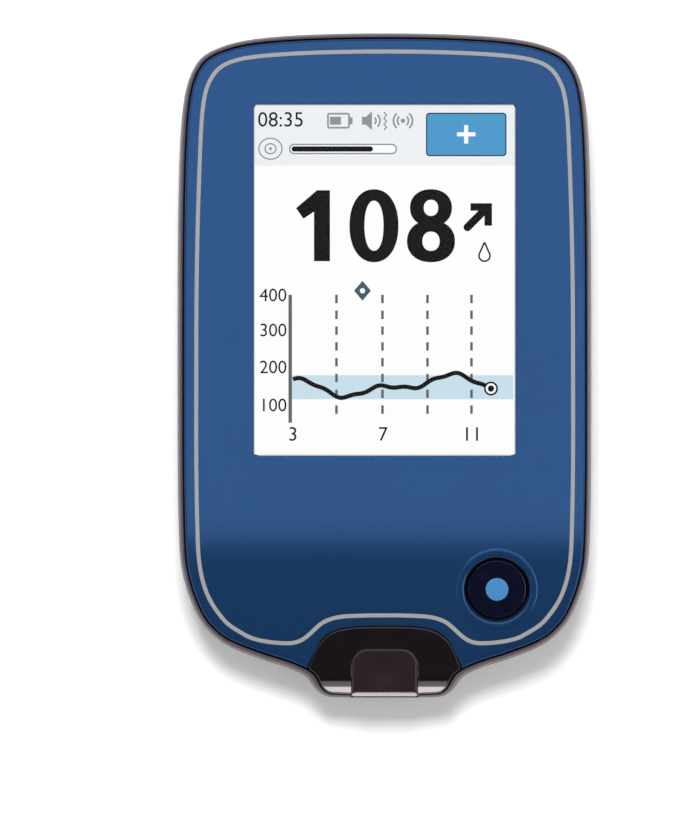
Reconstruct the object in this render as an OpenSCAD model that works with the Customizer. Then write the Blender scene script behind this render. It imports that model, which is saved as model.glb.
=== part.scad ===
// Handheld blood glucose reader, lying on its back.
// The screen faces +Z, the strip port points along -Y and the button is on the +X side.
// The origin is at the middle of the back plane, under the middle of the body.

/* [Body] */
// Overall width at the waist
body_w = 59.2; // [56:0.2:64]
// Overall length, nose included
body_l = 95; // [93:0.5:102]
// Overall thickness
body_t = 16; // [15.8:0.1:18]
// Height of the widest line of the body above the back
waist_z = 9; // [8.6:0.1:9.4]
// How far the rounded back draws in from the widest line
back_round = 7; // [5.5:0.25:8]
// Thickness of the back cover's side wall
wall = 1.8; // [1.6:0.1:2]
// Thickness of the back cover's floor
floor_t = 1.5; // [1.2:0.1:1.7]
// How far the rim's top edge leans in from the widest line
rim_lean = 0.6; // [0.45:0.05:0.62]
// Height of the face above the rim around it
face_proud = 0.45; // [0.3:0.05:0.6]

/* [Outline] */
// Width of each shoulder corner, measured in from the side
shoulder_w = 7.6; // [6.6:0.2:9]
// Height of each shoulder corner, measured down from the top end
shoulder_l = 5.9; // [5.3:0.1:6.6]
// How far the top edge has dropped at the shoulder
top_bow = 1.5; // [1:0.1:2.2]
// Distance of the fullest point of the sides from the middle of the length
waist_y = 3; // [0:0.5:6]
// Distance of the lower corners from the nose end
corner_rise = 10; // [9:0.25:11]
// Width of the nose at its neck
neck_w = 21.6; // [20.6:0.2:23]
// Width of the nose's flat end
nose_w = 14.6; // [13.6:0.2:16]
// How far the nose stands out from the lower edge
nose_l = 2.4; // [1.8:0.1:2.8]

/* [Face] */
// Thickness of the front fascia
face_t = 1.8; // [1.6:0.05:2]
// Width of the dark reveal between the rim and the face
reveal = 0.22; // [0.15:0.01:0.3]
// Depth of the skirt under the fascia's edge
skirt_h = 0.4; // [0.3:0.05:0.6]
// Height of the seal between the skirt and the back cover's ledge
seal_h = 0.4; // [0.3:0.05:0.5]
// Slope of the lower face
face_slope = 4.2; // [3:0.1:5]
// Distance from the window's lower edge to where the face begins to bend down
bend_gap = 7.7; // [6:0.1:9]
// Length of the bend
bend_l = 8; // [6:0.5:10]
// Length of the rolled lip at the nose
lip_l = 3.2; // [2.8:0.1:3.6]
// How far the lip would drop if it rolled to the vertical
lip_drop = 3; // [2.4:0.1:3.2]
// Depth of the trim line's groove
trim_t = 0.25; // [0.2:0.05:0.4]
// Width of the trim line
trim_w = 0.64; // [0.4:0.02:0.9]
// Distance of the trim line from the body's silhouette
trim_in = 2.8; // [2.3:0.1:3]

/* [Screen] */
// Width of the window
window_w = 37.2; // [35:0.2:39]
// Length of the window
window_l = 50; // [48:0.2:51]
// Distance from the top end of the body to the window
window_top = 10.4; // [9.6:0.1:11]
// Corner radius of the window
window_r = 0.3; // [0.2:0.1:1.5]
// Clearance round the lens in the window
lens_gap = 0.12; // [0.08:0.01:0.2]
// How far the lens lies below the face
lens_recess = 0.12; // [0.05:0.01:0.3]
// Width of the touch panel's border beyond the window
touch_border = 3.2; // [2.6:0.1:3.4]
// Thickness of the touch panel
touch_t = 0.7; // [0.5:0.05:0.8]
// Thickness of the foam between the display and the touch panel
foam_t = 0.7; // [0.5:0.05:0.8]
// Thickness of the display glass
glass_t = 1.1; // [0.9:0.05:1.2]
// Thickness of the backlight
backlight_t = 1.1; // [0.9:0.05:1.2]
// Width of the display's border beyond the window
display_border = 1.9; // [1.5:0.1:2.2]
// Clearance round the display in its pocket
display_gap = 0.25; // [0.15:0.05:0.4]
// Wall of the pocket that holds the display
pocket_wall = 1.1; // [0.9:0.05:1.2]
// Thickness of the mid frame's plate
frame_t = 0.8; // [0.7:0.05:1]

/* [Button] */
// Distance of the button from the side
button_side = 13.6; // [13.2:0.1:14.2]
// Distance of the button from the nose end
button_rise = 15.6; // [15.2:0.1:16]
// Radius of the button
button_r = 4.42; // [4:0.02:4.6]
// Clearance between the button and its opening
button_gap = 0.28; // [0.2:0.02:0.35]
// Radius of the flat top of the button
button_top_r = 3.97; // [3.6:0.01:4]
// Radius of the coloured dot on the button
dot_r = 1.62; // [1.2:0.02:2]
// Travel of the button
button_travel = 0.4; // [0.3:0.05:0.5]
// Radial width of the soft bead round the button
bead_w = 1; // [0.8:0.05:1.2]
// Height of the bead
bead_h = 0.12; // [0.06:0.02:0.2]

/* [Board and battery] */
// Thickness of the main board
board_t = 1; // [0.8:0.1:1]
// Clearance between the main board and the wall
board_gap = 0.8; // [0.6:0.1:1]
// Width of the battery
battery_w = 30; // [26:0.5:33]
// Length of the battery
battery_l = 40; // [34:0.5:42]
// Thickness of the battery
battery_t = 4.6; // [4.2:0.1:4.8]
// Thickness of the battery's adhesive pad
pad_t = 0.3; // [0.2:0.05:0.4]
// Clearance between the battery and the main board
battery_gap = 0.6; // [0.4:0.05:0.7]

/* [Electronics] */
// Width of the shield can
can_w = 26; // [22:1:28]
// Length of the shield can
can_l = 20; // [16:1:22]
// Height of the shield can
can_h = 1.4; // [1.2:0.1:1.5]
// Distance of the can to the left of the middle line
can_left = 6; // [4:0.5:8]
// Distance of the can above the middle of the window
can_rise = 14; // [10:0.5:15]
// Side of the processor
cpu_w = 9; // [7:0.5:10]
// Width of the memory chip
memory_w = 6; // [5:0.5:7]
// Length of the memory chip
memory_l = 8; // [6:0.5:10]
// Side of the radio chip
radio_w = 5; // [4:0.5:6]
// Height of the chips
chip_h = 0.9; // [0.7:0.05:1]
// Side of the tactile switch
switch_w = 4.6; // [4:0.1:5]
// Height of the tactile switch's body
switch_h = 1.3; // [1.1:0.05:1.4]

/* [Ports] */
// Width of the test strip slot
slot_w = 8.4; // [7.8:0.1:8.8]
// Height of the test strip slot
slot_h = 1.2; // [1:0.05:1.3]
// Height of the slot's sill above the back
slot_z = 10.7; // [10.5:0.05:10.8]
// Half width of the raised tongue over the strip port
tongue_half_w = 4.7; // [4.6:0.05:5]
// Distance of the tongue's upper end from the nose end
tongue_l = 7.2; // [6.6:0.1:7.4]
// Radius of the tongue's upper corners
tongue_r = 2.2; // [1.6:0.1:2.6]
// Height of the tongue above the hood
tongue_h = 0.28; // [0.15:0.01:0.35]
// Distance of the hood's upper edge from the nose end
hood_l = 10.35; // [9.8:0.05:10.4]
// Clearance between the hood and the fascia and round the tongue
hood_gap = 0.08; // [0.05:0.01:0.12]
// Width of the USB socket's shell
usb_w = 7.5; // [7.3:0.1:7.8]
// Height of the USB socket's shell
usb_h = 2.5; // [2.3:0.1:2.7]
// Depth of the USB socket
usb_l = 5; // [4.8:0.1:5.4]
// Clearance between the USB socket and its opening
usb_gap = 0.45; // [0.3:0.05:0.6]

/* [Fasteners] */
// Radius of the frame screws' shank
screw_r = 0.75; // [0.65:0.01:0.8]
// Radius of the frame screws' head
screw_head_r = 1.4; // [1.3:0.05:1.5]
// Height of the frame screws' head
screw_head_h = 0.8; // [0.6:0.05:1]
// Radius of the screw bosses
boss_r = 2; // [1.9:0.05:2.1]
// How deep the frame screws bite into the bosses
screw_bite = 3.5; // [2.5:0.1:4]
// Distance of the upper screws from the middle line
screw_top_x = 14; // [12:0.5:16]
// Radius of the hood's locating pins
pin_r = 0.9; // [0.8:0.05:1]

/* [Sound] */
// Radius of the speaker
speaker_r = 6.5; // [6:0.1:7]
// Height of the speaker
speaker_h = 3; // [2.6:0.1:3.4]
// Radius of the vibration motor
motor_r = 4; // [3.8:0.1:4.4]
// Height of the vibration motor
motor_h = 2.7; // [2.4:0.1:3]

/* [Hidden] */

$fn = 48;
outline_steps = 5;
back_steps = 8;
inner_steps = 5;
rim_steps = 4;
corner_steps = 5;
over = 1;

half_w = body_w / 2;
half_l = body_l / 2;
neck_x = neck_w / 2;
tip_x = nose_w / 2;
corner_x = half_w - 4.05;

crease_y = lip_l - half_l;
slope = tan(face_slope);
lip_reach = lip_l + 0.2;

face_in = rim_lean + 0.1 + reveal;
lip_in = rim_lean + 0.1;
ledge_drop = face_t + skirt_h + seal_h;
skirt_in = face_in + 1.7;
seal_in = wall - 0.05;

window_y = half_l - window_top - window_l / 2;
bend_y = window_y - window_l / 2 - bend_gap;
touch_z = body_t - face_t - touch_t;
glass_z = touch_z - foam_t - glass_t;
backlight_z = glass_z - backlight_t;
frame_z = backlight_z - frame_t;
display_w = window_w + 2 * display_border;
display_l = window_l + 2 * display_border;
pocket_w = display_w + 2 * display_gap;
pocket_l = display_l + 2 * display_gap;
touch_w = window_w + 2 * touch_border;
touch_l = window_l + 2 * touch_border;

battery_z = floor_t + pad_t;
board_z = battery_z + battery_t + battery_gap;
board_top = board_z + board_t;
battery_y = window_y;
battery_end_y = battery_y + battery_l / 2;

button_x = half_w - button_side;
button_y = button_rise - half_l;
button_tilt = atan(slope * max(0, min(1, (bend_y - button_y) / bend_l)));
opening_r = button_r + button_gap;
sound_y = button_y + 1.9;
speaker_x = 10;
motor_x = -14;

screw_top_y = half_l - wall - boss_r - 0.9;
screw_low_x = half_w - wall - 7.8;
screw_low_y = window_y - pocket_l / 2 - pocket_wall - boss_r - 0.4;
pin_x = 7.3;
pin_y = 8.1 - half_l;
pin_boss_top = board_top + 3;

usb_y = half_l - 1.2 - usb_l;
slot_top = slot_z + slot_h;
socket_y = 2.9 - half_l;
socket_l = 8.5;
leg_y = 2.9 - half_l;
tongue_sunk = 0.8;
trim_back_y = 11.9 - half_l;

// ---------------------------------------------------------------- outline and lofts

function mix(a, b, t) = a + (b - a) * t;
function heading(a) = [cos(a), sin(a)];

// Stations down the right-hand side, from the top centre to the nose end:
// [x, y, heading, handle before, handle after, share of the rim's lean].
// nose runs from 0, an outline without the nose, to 1, the full outline.
function stations(nose) = [
    [0, half_l, 0, 0, 7, 1],
    [half_w - shoulder_w, half_l - top_bow, -17, 4.4, 4, 1],
    [half_w - shoulder_w / 4, half_l - shoulder_l, -66, 2.5, 1.5, 1],
    [half_w - 0.5, half_l - shoulder_l - 7.7, -86, 4.4, 7, 1],
    [half_w, waist_y, -90, 9.3, 14, 1],
    [half_w - 0.3, corner_rise + 11 - half_l, -93, 6.5, 5, 1],
    [corner_x, corner_rise - half_l, -133, 2, 2.9, 1],
    [mix(neck_x, corner_x, 0.43), 5.3 - half_l, -161, 6, 0.9, 1.15],
    [neck_x, mix(3.6, nose_l + 0.1, nose) - half_l, mix(-167, -124, nose), 1.7, 1.4, 1.3],
    [tip_x, mix(nose_l + 0.5, 0.05, nose) - half_l, mix(-172, -178, nose), 2, 1.2, 0.6],
    [0, mix(nose_l, 0, nose) - half_l, -180, 5, 0, 0.5]
];

// A station moved inwards by d
function moved(s, d) = [s.x + d * sin(s[2]), s.y - d * cos(s[2])];

function bezier(p, q, r, s, t) =
    p * (1 - t)^3 + q * 3 * t * (1 - t)^2 + r * 3 * t^2 * (1 - t) + s * t^3;

// Points of one side of an outline, drawn in by d. With lean, each station draws in
// by its own share of d.
function side(d, nose, lean = false) =
    let(list = stations(nose))
    [
        for (i = [0 : len(list) - 2])
            let(
                a = list[i],
                b = list[i + 1],
                p = moved(a, lean ? d * a[5] : d),
                q = moved(b, lean ? d * b[5] : d),
                k = norm(q - p) / norm([b.x - a.x, b.y - a.y])
            )
            for (j = [0 : outline_steps - 1])
                bezier(
                    p, p + k * a[4] * heading(a[2]), q - k * b[3] * heading(b[2]), q,
                    j / outline_steps
                ),
        moved(list[len(list) - 1], lean ? d * list[len(list) - 1][5] : d)
    ];

function mirrored(points) =
    concat(points, [for (i = [len(points) - 2 : -1 : 1]) [-points[i].x, points[i].y]]);

function outline(d, nose = 1, lean = false) = mirrored(side(d, nose, lean));

// A closed level of a loft, at a height that is a function of y
function level(d, nose, height, lean = false) =
    [for (p = outline(d, nose, lean)) [p.x, p.y, height(p.y)]];

// Height of the face: flat, a soft bend, a slope, and an elliptic roll at the nose lip
function slope_z(y) =
    y > bend_y ? body_t
    : y > bend_y - bend_l ? body_t - slope * (bend_y - y)^2 / (2 * bend_l)
    : body_t - slope * (bend_y - bend_l / 2 - y);
function lip_z(y) =
    y > crease_y ? 0 : lip_drop * (1 - sqrt(1 - min(1, (crease_y - y) / lip_reach)^2));
function face_z(y) = slope_z(y) - lip_z(y);

// A cap that joins each point of a level to its mirror image, so it follows the face
function cap(start, n, up) =
    let(h = n / 2)
    [
        for (i = [0 : h - 1])
            let(
                a = start + i,
                b = start + i + 1,
                c = start + (n - i - 1) % n,
                d = start + (n - i) % n,
                f = i == 0 ? [a, b, c] : i == h - 1 ? [a, b, d] : [a, b, c, d]
            )
            up ? f : [for (k = [len(f) - 1 : -1 : 0]) f[k]]
    ];

// Triangles between each level and the next
function skin(count, n, closed) = [
    for (l = [0 : count - (closed ? 1 : 2)], i = [0 : n - 1])
        let(
            a = l * n + i,
            b = l * n + (i + 1) % n,
            c = (l + 1) % count * n + (i + 1) % n,
            d = (l + 1) % count * n + i
        )
        each [[a, b, c], [a, c, d]]
];

function joined(levels) = [for (l = levels) each l];

// A solid through levels that are listed from its lowest face outwards and up
module loft(levels) {
    n = len(levels[0]);
    count = len(levels);
    polyhedron(
        joined(levels),
        concat(cap(0, n, false), skin(count, n, false), cap((count - 1) * n, n, true))
    );
}

// A closed ring through levels that go once round its cross-section
module ring_loft(levels) {
    n = len(levels[0]);
    polyhedron(joined(levels), skin(len(levels), n, true));
}

// ---------------------------------------------------------------- shared shapes

function rounded(w, l, r) = [
    for (q = [0 : 3], k = [0 : corner_steps])
        let(
            a = 90 * (q + k / corner_steps),
            cx = (q == 0 || q == 3 ? 1 : -1) * (w / 2 - r),
            cy = (q < 2 ? 1 : -1) * (l / 2 - r)
        )
        [cx + r * cos(a), cy + r * sin(a)]
];

// A slab with rounded corners, centred in X and Y
module slab(w, l, h, r) {
    linear_extrude(h) polygon(rounded(w, l, r));
}

// A slab with a rounded hole through it
module frame_slab(w, l, h, r, hole_w, hole_l, hole_r) {
    difference() {
        slab(w, l, h, r);
        translate([0, 0, -over]) slab(hole_w, hole_l, h + 2 * over, hole_r);
    }
}

// A box centred in X and Y, standing on its base
module block(w, l, h) {
    translate([-w / 2, -l / 2, 0]) cube([w, l, h]);
}

module at_window(z) {
    translate([0, window_y, z]) children();
}

module at_each_screw(z) {
    for (s = [-1, 1]) {
        translate([s * screw_top_x, screw_top_y, z]) children();
        translate([s * screw_low_x, screw_low_y, z]) children();
    }
}

module at_can(z) {
    translate([-can_left, window_y + can_rise, z]) children();
}

module at_each_pin(z) {
    for (x = [-pin_x, pin_x]) translate([x, pin_y, z]) children();
}

// The frame of the button, with its origin on the face and its axis square to the slope
module at_button() {
    translate([button_x, button_y, face_z(button_y)]) rotate([button_tilt, 0, 0]) children();
}

// Outline of the strip port's hood, wider by grow; it runs out past the nose
function hood_stations(grow) = [
    [0, hood_l + grow, 0, 0, 3],
    [neck_x - 5, hood_l - 0.3 + grow, -9, 2, 1.9],
    [neck_x - 1 + 0.7 * grow, 7.1 + 0.7 * grow, -62, 1.9, 1.2],
    [neck_x + 0.4 + grow, 3.7, -66, 1.2, 1.2]
];

function hood_outline(grow) =
    let(list = hood_stations(grow))
    mirrored([
        for (i = [0 : len(list) - 2], j = [0 : outline_steps - 1])
            let(a = list[i], b = list[i + 1])
            bezier(
                [a.x, a.y - half_l], [a.x, a.y - half_l] + a[4] * heading(a[2]),
                [b.x, b.y - half_l] - b[3] * heading(b[2]), [b.x, b.y - half_l],
                j / outline_steps
            ),
        [neck_x + 0.4 + grow, 3.7 - half_l],
        [neck_x + 2, -half_l],
        [neck_x + 2, -half_l - over],
        [0, -half_l - over]
    ]);

// Middle line of the trim, on the right: round the body, then over the hood
function trim_stations(d) = [
    [0, half_l - trim_in - 0.05 - d, 0, 0, 6.25],
    [half_w - shoulder_w - 1.1, half_l - top_bow - trim_in + 0.27 - d, -15, 3.8, 2.1],
    [half_w - trim_in - 1.6 - d, half_l - shoulder_l - 1.85 - 0.4 * d, -68, 2.7, 2],
    [half_w - trim_in - 0.58 - d, half_l - shoulder_l - 10.3, -87.6, 2.6, 8.1],
    [half_w - trim_in - d, waist_y, -90, 11, 11],
    [half_w - trim_in - 0.18 - d, 23.4 - half_l, -91.7, 9.4, 2.2],
    [corner_x - 1.5 - 0.8 * d, 12.75 - half_l + 0.6 * d, -126, 4.3, 2.45],
    [mix(neck_x, corner_x, 0.595), 8.95 - half_l + 0.9 * d, -151, 3.1, 1.7],
    [neck_x + 2.75, 7.92 - half_l + d, -182, 1.3, 2.1],
    [neck_x - 1.57 + 0.7 * d, 10.56 - half_l + 0.75 * d, -219, 1.7, 1.1],
    [neck_x - 5.83, trim_back_y - 0.1 + d, -182, 2, 2.3],
    [0, trim_back_y + d, -180, 3, 0]
];

function trim_outline(d) =
    let(list = trim_stations(d))
    mirrored([
        for (i = [0 : len(list) - 2], j = [0 : outline_steps - 1])
            let(a = list[i], b = list[i + 1])
            bezier(
                [a.x, a.y], [a.x, a.y] + a[4] * heading(a[2]),
                [b.x, b.y] - b[3] * heading(b[2]), [b.x, b.y], j / outline_steps
            ),
        [0, list[len(list) - 1].y]
    ]);

// The band of the trim, from the groove's bottom up to the face and past it by rise
module trim_band(rise) {
    inside = skirt_in - 1;
    intersection() {
        linear_extrude(body_t + over)
            difference() {
                polygon(trim_outline(-trim_w / 2));
                polygon(trim_outline(trim_w / 2));
            }
        loft([
            level(inside, 1, function(y) face_z(y) - trim_t),
            level(inside, 1, function(y) face_z(y) + rise)
        ]);
    }
}

// The whole face as one piece, before it is parted into fascia and hood
module face_block() {
    loft([
        level(skirt_in, 1, function(y) face_z(y) - face_t),
        level(skirt_in, 1, function(y) face_z(y) - face_t - skirt_h),
        level(seal_in, 1, function(y) face_z(y) - face_t - skirt_h),
        level(face_in, 1, function(y) face_z(y) - face_t - skirt_h, true),
        level(face_in, 1, function(y) face_z(y) - 0.3, true),
        level(face_in + 0.09, 1, function(y) face_z(y) - 0.09, true),
        level(face_in + 0.3, 1, function(y) face_z(y), true)
    ]);
}

module hood_prism(grow) {
    linear_extrude(body_t + over) polygon(hood_outline(grow));
}

// ---------------------------------------------------------------- housing

// Quarter-ellipse levels of the back, from its floor out to the widest line
function back_levels(draw, inner, z0, steps, up) = [
    for (i = [0 : steps])
        let(
            a = 90 * (up ? i : steps - i) / steps,
            z = mix(waist_z, z0, cos(a))
        )
        level(inner + draw * (1 - sin(a)), nose_at(z), function(y) z)
];

// The nose fades out towards the back
function nose_at(z) = min(1, z / waist_z)^1.5;

// Levels of the rim, from the widest line up to its leaning top edge
rim_levels = [
    for (i = [1 : rim_steps])
        let(a = 90 * i / rim_steps)
        level(
            rim_lean * (1 - cos(a)), 1,
            function(y) mix(waist_z, face_z(y) - face_proud, sin(a)), true
        )
];

module cover_shell() {
    loft(concat(
        back_levels(back_round, 0, 0, back_steps, true),
        rim_levels,
        [
            level(lip_in, 1, function(y) face_z(y) - face_proud, true),
            level(lip_in, 1, function(y) face_z(y) - ledge_drop, true),
            level(wall, 1, function(y) face_z(y) - ledge_drop)
        ],
        back_levels(back_round - 2.2, wall, floor_t, inner_steps, false)
    ));
}

// The space inside the cover's outer skin, where bosses may stand
module inside_cover() {
    skin = 0.9;
    loft(concat(
        back_levels(back_round - skin / 2, skin, skin, rim_steps, true),
        [level(skin, 1, function(y) body_t)]
    ));
}

// A boss from the floor up to top, with a blind hole from its upper end
module boss(r, hole_r, top, deep) {
    difference() {
        cylinder(r = r, h = top);
        translate([0, 0, top - deep]) cylinder(r = hole_r, h = deep + over);
    }
}

module bosses() {
    intersection() {
        inside_cover();
        union() {
            at_each_screw(0) boss(boss_r, screw_r + 0.02, board_z, screw_bite + 0.5);
            at_each_pin(0) boss(pin_r + 0.8, pin_r + 0.05, pin_boss_top, 3);
        }
    }
}

// The mouth round the USB socket, with a shallow step that leads the plug in
module usb_opening() {
    w = usb_w + 2 * usb_gap;
    h = usb_h + 2 * usb_gap;
    lead_in = 0.35;
    translate([0, half_l + over, board_top + usb_h / 2]) rotate([90, 0, 0]) {
        slab(w, h, wall + 2 * over, 1);
        slab(w + 2 * lead_in, h + 2 * lead_in, over + lead_in, 1 + lead_in);
    }
}

module speaker_slots() {
    for (i = [-2 : 2])
        translate([speaker_x + 2 * i, sound_y, -over])
            slab(0.9, 2 * sqrt(4.6^2 - (2 * i)^2) - 1, floor_t + 2 * over, 0.4);
}

module battery_ribs() {
    for (x = [-1, 1], y = [-1, 1])
        translate([x * (battery_w / 2 + 0.9), battery_y + y * (battery_l / 2 - 4), floor_t - 0.2])
            block(1, 6, 2.4);
}

module round_wall(r, h) {
    difference() {
        cylinder(r = r + 0.8, h = h);
        translate([0, 0, -over]) cylinder(r = r, h = h + 2 * over);
    }
}

// Pockets in the side wall that the fascia's hooks snap into
snap_ys = [waist_y + 11, waist_y - 13];
tab_t = 0.9;
tab_out = half_w - wall - 0.35;
hook_z = body_t - 4.6;

module snap_pockets() {
    for (s = [-1, 1], y = snap_ys)
        translate([s * (half_w - wall + 0.3), y, hook_z - 0.3]) block(1.1, 7, 1.5);
}

module back_cover() {
    sill_y = 0.3 - half_l;
    notch_w = 2 * (tongue_half_w + hood_gap);
    color("#4a4145") {
        difference() {
            union() {
                cover_shell();
                translate([-notch_w / 2, sill_y, waist_z]) cube([notch_w, 2, slot_z - waist_z]);
                battery_ribs();
                translate([speaker_x, sound_y, floor_t - 0.2]) round_wall(speaker_r + 0.3, 1.8);
                translate([motor_x, sound_y, floor_t - 0.2]) round_wall(motor_r + 0.3, 1.6);
            }
            usb_opening();
            speaker_slots();
            snap_pockets();
            translate([-notch_w / 2, -half_l - over, slot_z]) cube([notch_w, 4, body_t]);
        }
        bosses();
    }
}

module edge_seal() {
    bottom = ledge_drop - 0.03;
    top = ledge_drop - seal_h + 0.03;
    color("#15151c") difference() {
        ring_loft([
            level(lip_in + 0.05, 1, function(y) face_z(y) - bottom, true),
            level(lip_in + 0.05, 1, function(y) face_z(y) - top, true),
            level(face_in, 1, function(y) face_z(y) - top, true),
            level(seal_in, 1, function(y) face_z(y) - top),
            level(seal_in, 1, function(y) face_z(y) - bottom)
        ]);
        translate([-tongue_half_w - 0.4, -half_l - over, 0])
            cube([2 * tongue_half_w + 0.8, 6, body_t]);
    }
}

module frame_posts() {
    at_each_screw(board_top) cylinder(r = boss_r, h = frame_z - board_top + 0.2);
}

// The chassis: a plate with a pocket for the display and posts down to the main board
module mid_frame() {
    low_y = screw_low_y - boss_r - 1;
    color("#202126") difference() {
        union() {
            intersection() {
                translate([0, 0, frame_z]) linear_extrude(frame_t)
                    polygon(outline(wall + 0.7));
                translate([-half_w, low_y, 0]) cube([body_w, body_l, body_t]);
            }
            at_window(frame_z)
                slab(
                    pocket_w + 2 * pocket_wall, pocket_l + 2 * pocket_wall,
                    touch_z - frame_z, 1.5
                );
            frame_posts();
        }
        at_window(backlight_z) slab(pocket_w, pocket_l, body_t, 0.6);
        at_each_screw(0) cylinder(r = screw_r + 0.2, h = body_t);
        at_can(0) slab(can_w - 6, can_l - 8, body_t, 2);
        translate([-usb_w / 2 - 0.6, usb_y - 0.4, 0]) cube([usb_w + 1.2, body_l, body_t]);
        translate([0, display_flex_y - 1, 0]) slab(display_flex_w + 2, 3.2, body_t, 0.8);
        translate([touch_flex_x, touch_flex_y + 0.4, 0]) slab(touch_flex_w + 1, 1.8, body_t, 0.5);
    }
}

// ---------------------------------------------------------------- face

module snap_tab() {
    top = body_t - face_t - skirt_h - hook_z + 0.1;
    translate([tab_out - tab_t, -3, hook_z]) cube([tab_t, 6, top]);
    translate([tab_out - 0.1, 3, hook_z]) rotate([90, 0, 0]) linear_extrude(6)
        polygon([[0, 0], [0.7, 0.6], [0.7, 0.9], [0, 0.9]]);
}

// A soft bead that stands up round the button's opening
module button_bead() {
    mid_r = opening_r + 0.05 + bead_w / 2;
    sag = bead_w / 2;
    r = (sag^2 + bead_h^2) / (2 * bead_h);
    rotate_extrude() intersection() {
        translate([mid_r, bead_h - r]) circle(r);
        translate([mid_r - sag, -0.3]) square([bead_w, bead_h + 0.5]);
    }
}

module front_fascia() {
    color("#31578a") difference() {
        union() {
            difference() {
                face_block();
                hood_prism(hood_gap);
                at_window(0) slab(window_w, window_l, body_t + over, window_r);
                trim_band(over);
            }
            for (s = [0, 1], y = snap_ys) mirror([s, 0, 0]) translate([0, y, 0]) snap_tab();
            at_button() button_bead();
        }
        at_button() translate([0, 0, -4]) cylinder(r = opening_r, h = 8);
    }
}

module trim_line() {
    color("#acaeaf") trim_band(0);
}

module window_lens() {
    color("#f4f6f8") at_window(touch_z + touch_t)
        slab(
            window_w - 2 * lens_gap, window_l - 2 * lens_gap, face_t - lens_recess,
            window_r - lens_gap
        );
}

// Plan of the raised tongue, as far as a plane across the nose
module tongue_prism(grow, z0, z1, end_y) {
    half = tongue_half_w + grow;
    top_y = tongue_l - half_l + grow;
    w = 2 * half;
    l = top_y - end_y + 4;
    translate([0, top_y - l / 2, z0]) intersection() {
        slab(w, l, z1 - z0, tongue_r + grow);
        translate([0, 4, -over]) block(w + 2, l, z1 - z0 + 2 * over);
    }
}

// A frame on the sloped face, turned so that extrusions run down the slope
module down_slope() {
    y0 = bend_y - bend_l;
    translate([0, y0, slope_z(y0)]) rotate([90 + face_slope, 0, 0]) children();
}

// The tongue's cross-section, from sunk below the slope up to its rounded shoulders
function tongue_section(sunk, r = 0.45) =
    let(w = tongue_half_w, arc = [0 : 22.5 : 90])
    concat(
        [[-w, -sunk], [w, -sunk]],
        [for (a = arc) [w - r + r * cos(a), tongue_h - r + r * sin(a)]],
        [for (a = arc) [r - w - r * sin(a), tongue_h - r + r * cos(a)]]
    );

module port_hood() {
    color("#19131a") {
        difference() {
            intersection() {
                face_block();
                hood_prism(0);
            }
            intersection() {
                tongue_prism(hood_gap, 0, body_t + over, -half_l - over);
                down_slope() linear_extrude(half_l)
                    translate([-half_w, -tongue_sunk - hood_gap]) square([body_w, body_t]);
            }
            translate([-tongue_half_w - hood_gap, -half_l - over, 0])
                cube([2 * (tongue_half_w + hood_gap), leg_y + half_l + over, body_t + over]);
        }
        at_each_pin(pin_boss_top - 1.6)
            cylinder(r = pin_r, h = face_z(pin_y) - face_t - pin_boss_top + 1.8);
    }
}

// The raised roof of the strip port: a dished slab and a leg that closes the slot's top
module port_tongue() {
    end_y = 0.12 - half_l;
    dish_r = 26;
    dish_deep = 0.2;
    chamfer = 0.55;
    tip_z = slope_z(end_y) + tongue_h;
    color("#2f262a") difference() {
        union() {
            intersection() {
                tongue_prism(0, 0, body_t + over, end_y);
                down_slope() linear_extrude(half_l) polygon(tongue_section(tongue_sunk));
                translate([-half_w, end_y, 0]) cube([body_w, half_l, body_t + over]);
            }
            translate([-tongue_half_w, end_y, slot_top])
                cube([2 * tongue_half_w, leg_y - end_y - 0.1, slope_z(leg_y) - slot_top - 0.3]);
        }
        down_slope() translate([0, tongue_h + dish_r - dish_deep, -over])
            cylinder(r = dish_r, h = half_l, $fn = 96);
        translate([-half_w, end_y, tip_z - chamfer]) rotate([45, 0, 0])
            translate([0, -4, 0]) cube([body_w, 8, 4]);
    }
}

// ---------------------------------------------------------------- button

module button_cap() {
    edge = 0.35;
    flange_top = -face_t - 0.15;
    flange_h = 0.5;
    stem_end = face_z(button_y) - board_top - switch_h - 0.65;
    color("#0e1326") at_button() difference() {
        union() {
            rotate_extrude() polygon([
                [0, flange_top], [opening_r + 0.6, flange_top],
                [opening_r + 0.6, flange_top - flange_h], [0, flange_top - flange_h]
            ]);
            rotate_extrude() polygon([
                [0, 0], [button_top_r, 0], [button_top_r + 0.08, -0.03],
                [button_r, -edge], [button_r, flange_top - 0.1], [0, flange_top - 0.1]
            ]);
            translate([0, 0, -stem_end]) cylinder(r = 1.2, h = stem_end - 1);
        }
        translate([0, 0, -0.2]) cylinder(r = dot_r + 0.02, h = over);
    }
}

module button_dot() {
    color("#5392cd") at_button() translate([0, 0, -0.2]) cylinder(r = dot_r, h = 0.19);
}

switch_shift = (face_z(button_y) - board_top) * sin(button_tilt);

module at_switch(z) {
    translate([button_x, button_y + switch_shift, z]) children();
}

module switch_body() {
    color("#8d9094") at_switch(board_top) difference() {
        slab(switch_w, switch_w, switch_h, 0.4);
        translate([0, 0, 0.4]) cylinder(r = 1.2, h = switch_h);
    }
}

module switch_actuator() {
    base = 0.5 + button_travel;
    color("#1c1c1f") at_switch(board_top + base) cylinder(r = 0.95, h = switch_h + 0.55 - base);
}

// ---------------------------------------------------------------- display stack

module touch_panel() {
    color("#cfd6da") at_window(touch_z) slab(touch_w, touch_l, touch_t, 1.2);
}

flex_t = 0.15;
touch_flex_w = 6;
touch_flex_x = -13.5;
touch_flex_y = window_y - touch_l / 2 - 0.3;

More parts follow.
